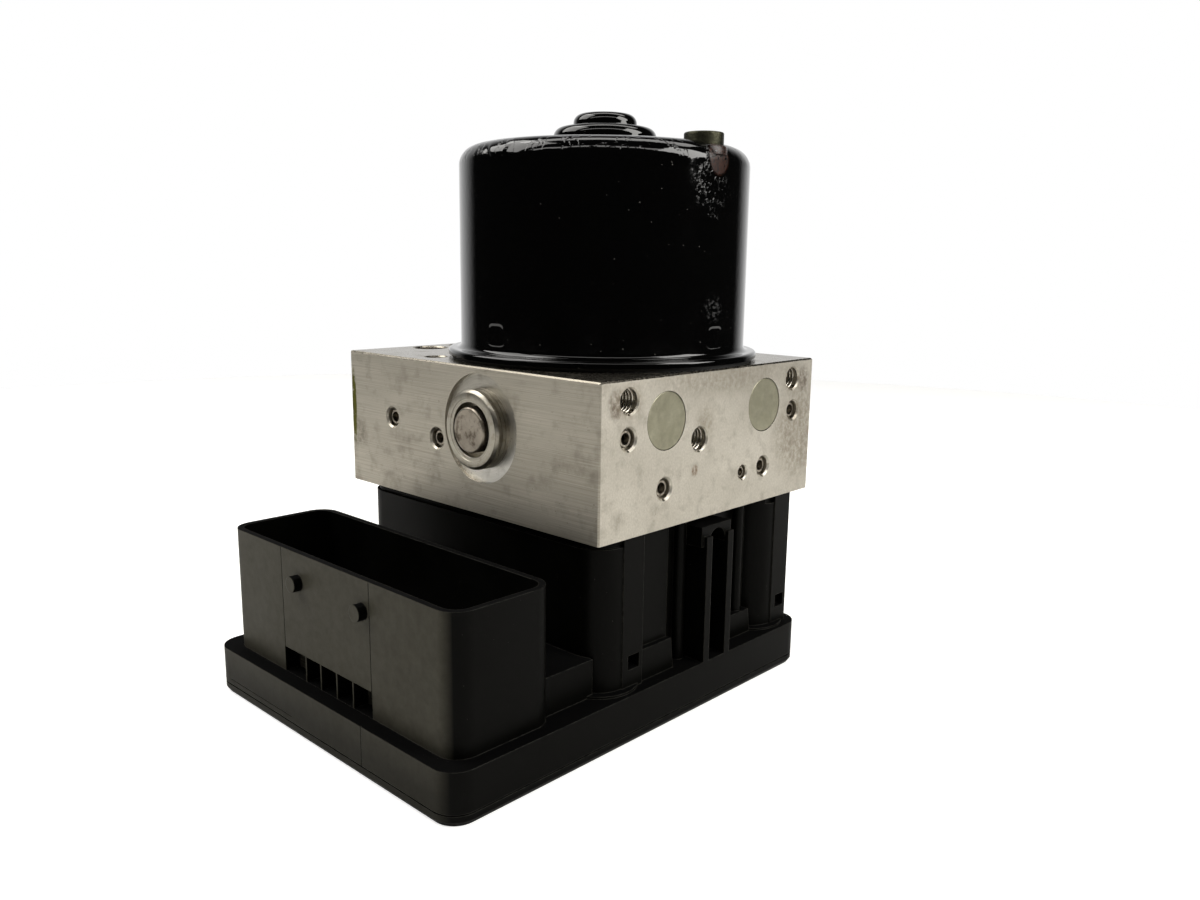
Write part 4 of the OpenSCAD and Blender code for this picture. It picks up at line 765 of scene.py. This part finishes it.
# Brushes: pressed and baked carbon with graphite, pushed onto the commutator by their springs.
# They are matt grey with a faint sparkle of copper powder.
carbon, t, shader, mm = material("pressed_carbon", 0.0, 0.62)
sparkle = noise_between(t, mm, 9.0, 0.66, 0.7, detail=2.0)
baked = noise_between(t, mm, 1.0, 0.3, 0.7)
t.links.new(coats(t, "#1A1A1B", (baked, "#2A2A2B"), (sparkle, "#8A5A3C")), shader.inputs["Base Color"])
give(carbon, "brushes")

# Springs of brushes, pump pistons, reservoirs and valves: coiled from hard-drawn and oil-tempered wire.
# The wire shows its draw lines. The springs of pump and reservoirs, which shorten with their pistons, are parted in
# two.
wire, t, shader, mm = material("drawn_spring_wire", 1.0, 0.28)
draw_lines = noise_between(t, mm, 5.0, 0.3, 0.7, (1, 1, 3))
t.links.new(coats(t, "#7F7B74", (draw_lines, "#B4B0A8")), shader.inputs["Base Color"])
give(wire, "brush_springs", "valve_springs")


def part_springs(node, stem, made):
    """Parts a pair of return springs at the unit's middle into a front and a back piece, one by each piston."""
    for end in ("front", "back"):
        spring = put(f"{stem}_spring_{end}", nodes[node].data.copy())
        shape = bmesh.new()
        shape.from_mesh(spring.data)
        other = [v for v in shape.verts if (v.co.y * 1000 < MOTOR_Y) != (end == "front")]
        bmesh.ops.delete(shape, geom=other, context="VERTS")
        shape.to_mesh(spring.data)
        shape.free()
        spring.data.materials.clear()
        spring.data.materials.append(made)
        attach(spring, "unit")
        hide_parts(node)
        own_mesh(spring)


part_springs("pump_springs", "pump", wire)
part_springs("accu_springs", "accu", wire)

# Magnets: sintered ferrite arcs, ground on their inner side, held in the can by its four dimples.
# They are charcoal with a dry grain.
ferrite, t, shader, mm = material("sintered_ferrite", 0.0, 0.66)
grit = noise_between(t, mm, 4.0, 0.35, 0.65, detail=5.0)
t.links.new(coats(t, "#232326", (grit, "#3A3A3D")), shader.inputs["Base Color"])
bump = add_node(t, "ShaderNodeBump", {"Height": grit, "Strength": 0.4, "Distance": 0.00003})
t.links.new(bump.outputs[0], shader.inputs["Normal"])
give(ferrite, "magnets")

# Rotor core and coil yokes: sheet steel, half a millimetre a sheet, stamped, stacked and varnished.
# The sheets' edges are seen as fine level lines.
sheets, t, shader, mm = material("stacked_sheet_steel", 1.0, 0.4)
lines = {0: mm, "Scale": 0.628, "Distortion": 0.3}
lines = add_node(t, "ShaderNodeTexWave", lines, bands_direction="Z").outputs[1]
t.links.new(coats(t, "#4E4A45", (lines, "#87837C")), shader.inputs["Base Color"])
bump = add_node(t, "ShaderNodeBump", {"Height": lines, "Strength": 0.4, "Distance": 0.00005})
t.links.new(bump.outputs[0], shader.inputs["Normal"])
give(sheets, "rotor_core", "coil_yokes")

# Windings of rotor and valve coils: enamelled copper wire laid in close turns.
# It is amber brown under its lacquer.
winding, t, shader, mm = material("enamelled_copper_wire", 0.9, 0.25)
strands = {0: mm, "Scale": 0.9, "Distortion": 1.2, "Detail": 1.0}
strands = add_node(t, "ShaderNodeTexWave", strands, bands_direction="Z").outputs[1]
t.links.new(coats(t, "#4A2413", (strands, "#B5673B")), shader.inputs["Base Color"])
bump = add_node(t, "ShaderNodeBump", {"Height": strands, "Strength": 0.7, "Distance": 0.00012})
t.links.new(bump.outputs[0], shader.inputs["Normal"])
give(winding, "rotor_coils", "valve_coils")

# Commutator: hard copper bars, pressed on the shaft and turned true on the rotor.
# The brushes have left a darker track round it.
copper, t, shader, mm = material("turned_copper", 1.0, 0.24)
track = noise_between(t, mm, 0.8, 0.35, 0.65, (0.2, 0.2, 6))
t.links.new(coats(t, "#C98C68", (track, "#6E4733")), shader.inputs["Base Color"])
give(copper, "commutator")

# Top bush: pressed and sintered bronze, which guides the shaft's end in the can's top.
# It is porous, and dark with the oil it holds.
bronze, t, shader, mm = material("sintered_bronze", 1.0, 0.42)
pores = noise_between(t, mm, 4.0, 0.55, 0.65, detail=3.0)
t.links.new(coats(t, "#A98A55", (pores, "#4A3A22")), shader.inputs["Base Color"])
bump = add_node(t, "ShaderNodeBump", {"Height": pores, "Strength": 0.4, "Distance": 0.00003}, invert=True)
t.links.new(bump.outputs[0], shader.inputs["Normal"])
give(bronze, "top_bushing")

# Shaft, bearing, pump ring, its needles, pump pistons and outlet balls: hardened steel, ground and lapped.
# They are all but mirror bright, under a haze of oil.
ground, t, shader, mm = material("ground_bearing_steel", 1.0)
haze = noise_between(t, mm, 0.7, 0.3, 0.7, detail=5.0)
t.links.new(coats(t, "#BFBEBA", (haze, "#D3D2CF")), shader.inputs["Base Color"])
rough = add_node(t, "ShaderNodeMath", {0: haze, 1: 0.1, 2: 0.1}, operation="MULTIPLY_ADD")
t.links.new(rough.outputs[0], shader.inputs["Roughness"])
give(ground, "motor_shaft", "bearing_outer", "bearing_balls", "bearing_inner", "eccentric_ring", "eccentric_needles")
give(ground, "pump_piston_front", "pump_piston_back", "outlet_balls")

# Pump cylinders: turned from the same bar as the pump plugs, behind which they sit in the block.
# They are on the same axis, so their faces carry the same rings.
give(turned_steel, "pump_cylinders")

# Valve tubes, seats and plungers: turned from stainless bar; the plungers slide in the tubes.
# Turning leaves fine level rings about the upright axis of each valve.
valve_steel, t, shader, mm = material("turned_stainless_steel", 1.0, 0.24)
level_rings = noise_between(t, mm, 1.0, 0.3, 0.7, (0.3, 0.3, 9.0))
t.links.new(coats(t, "#9D9B97", (level_rings, "#C8C6C2")), shader.inputs["Base Color"])
bump = add_node(t, "ShaderNodeBump", {"Height": level_rings, "Strength": 0.25, "Distance": 0.00002})
t.links.new(bump.outputs[0], shader.inputs["Normal"])
give(valve_steel, "valve_tubes", "valve_seats", *("valve_plunger_%d" % k for k in range(1, 13)))

# Reservoir pistons: turned from aluminium bar to slide in their bores.
# They are hard anodised to a dull greenish grey.
anodised, t, shader, mm = material("anodised_aluminium", 0.35, 0.46)
t.links.new(coats(t, "#6E7068", (noise_between(t, mm, 0.6, 0.3, 0.7), "#85867C")), shader.inputs["Base Color"])
give(anodised, "accu_piston_front", "accu_piston_back")

# Circuit board: green solder resist over woven glass laminate.
# The parts on it are black moulded packages with a fine matt grain.
board, t, shader, mm = material("coated_glass_laminate", 0.0, 0.3)
weave_x = add_node(t, "ShaderNodeTexWave", {0: mm, "Scale": 0.6}, bands_direction="X").outputs[1]
weave_y = add_node(t, "ShaderNodeTexWave", {0: mm, "Scale": 0.6}, bands_direction="Y").outputs[1]
weave = add_node(t, "ShaderNodeMath", {0: weave_x, 1: weave_y}, operation="MULTIPLY")
t.links.new(coats(t, "#0B3A22", (weave, "#14552F")), shader.inputs["Base Color"])
give(board, "circuit_board")
package, t, shader, mm = material("moulded_chip_epoxy", 0.0, 0.55)
t.links.new(coats(t, "#121213", (noise_between(t, mm, 5.0, 0.3, 0.7), "#202022")), shader.inputs["Base Color"])
give(package, "board_parts")

# Pins of plug, power feed and motor: stamped from brass strip, with the punch's plain edges.
# They are dipped in bright tin.
tin, t, shader, mm = material("tinned_brass", 1.0, 0.26)
t.links.new(coats(t, "#BDB8A8", (noise_between(t, mm, 1.2, 0.3, 0.7), "#D8D3C4")), shader.inputs["Base Color"])
give(tin, "signal_pins", "power_pins", "motor_pins")
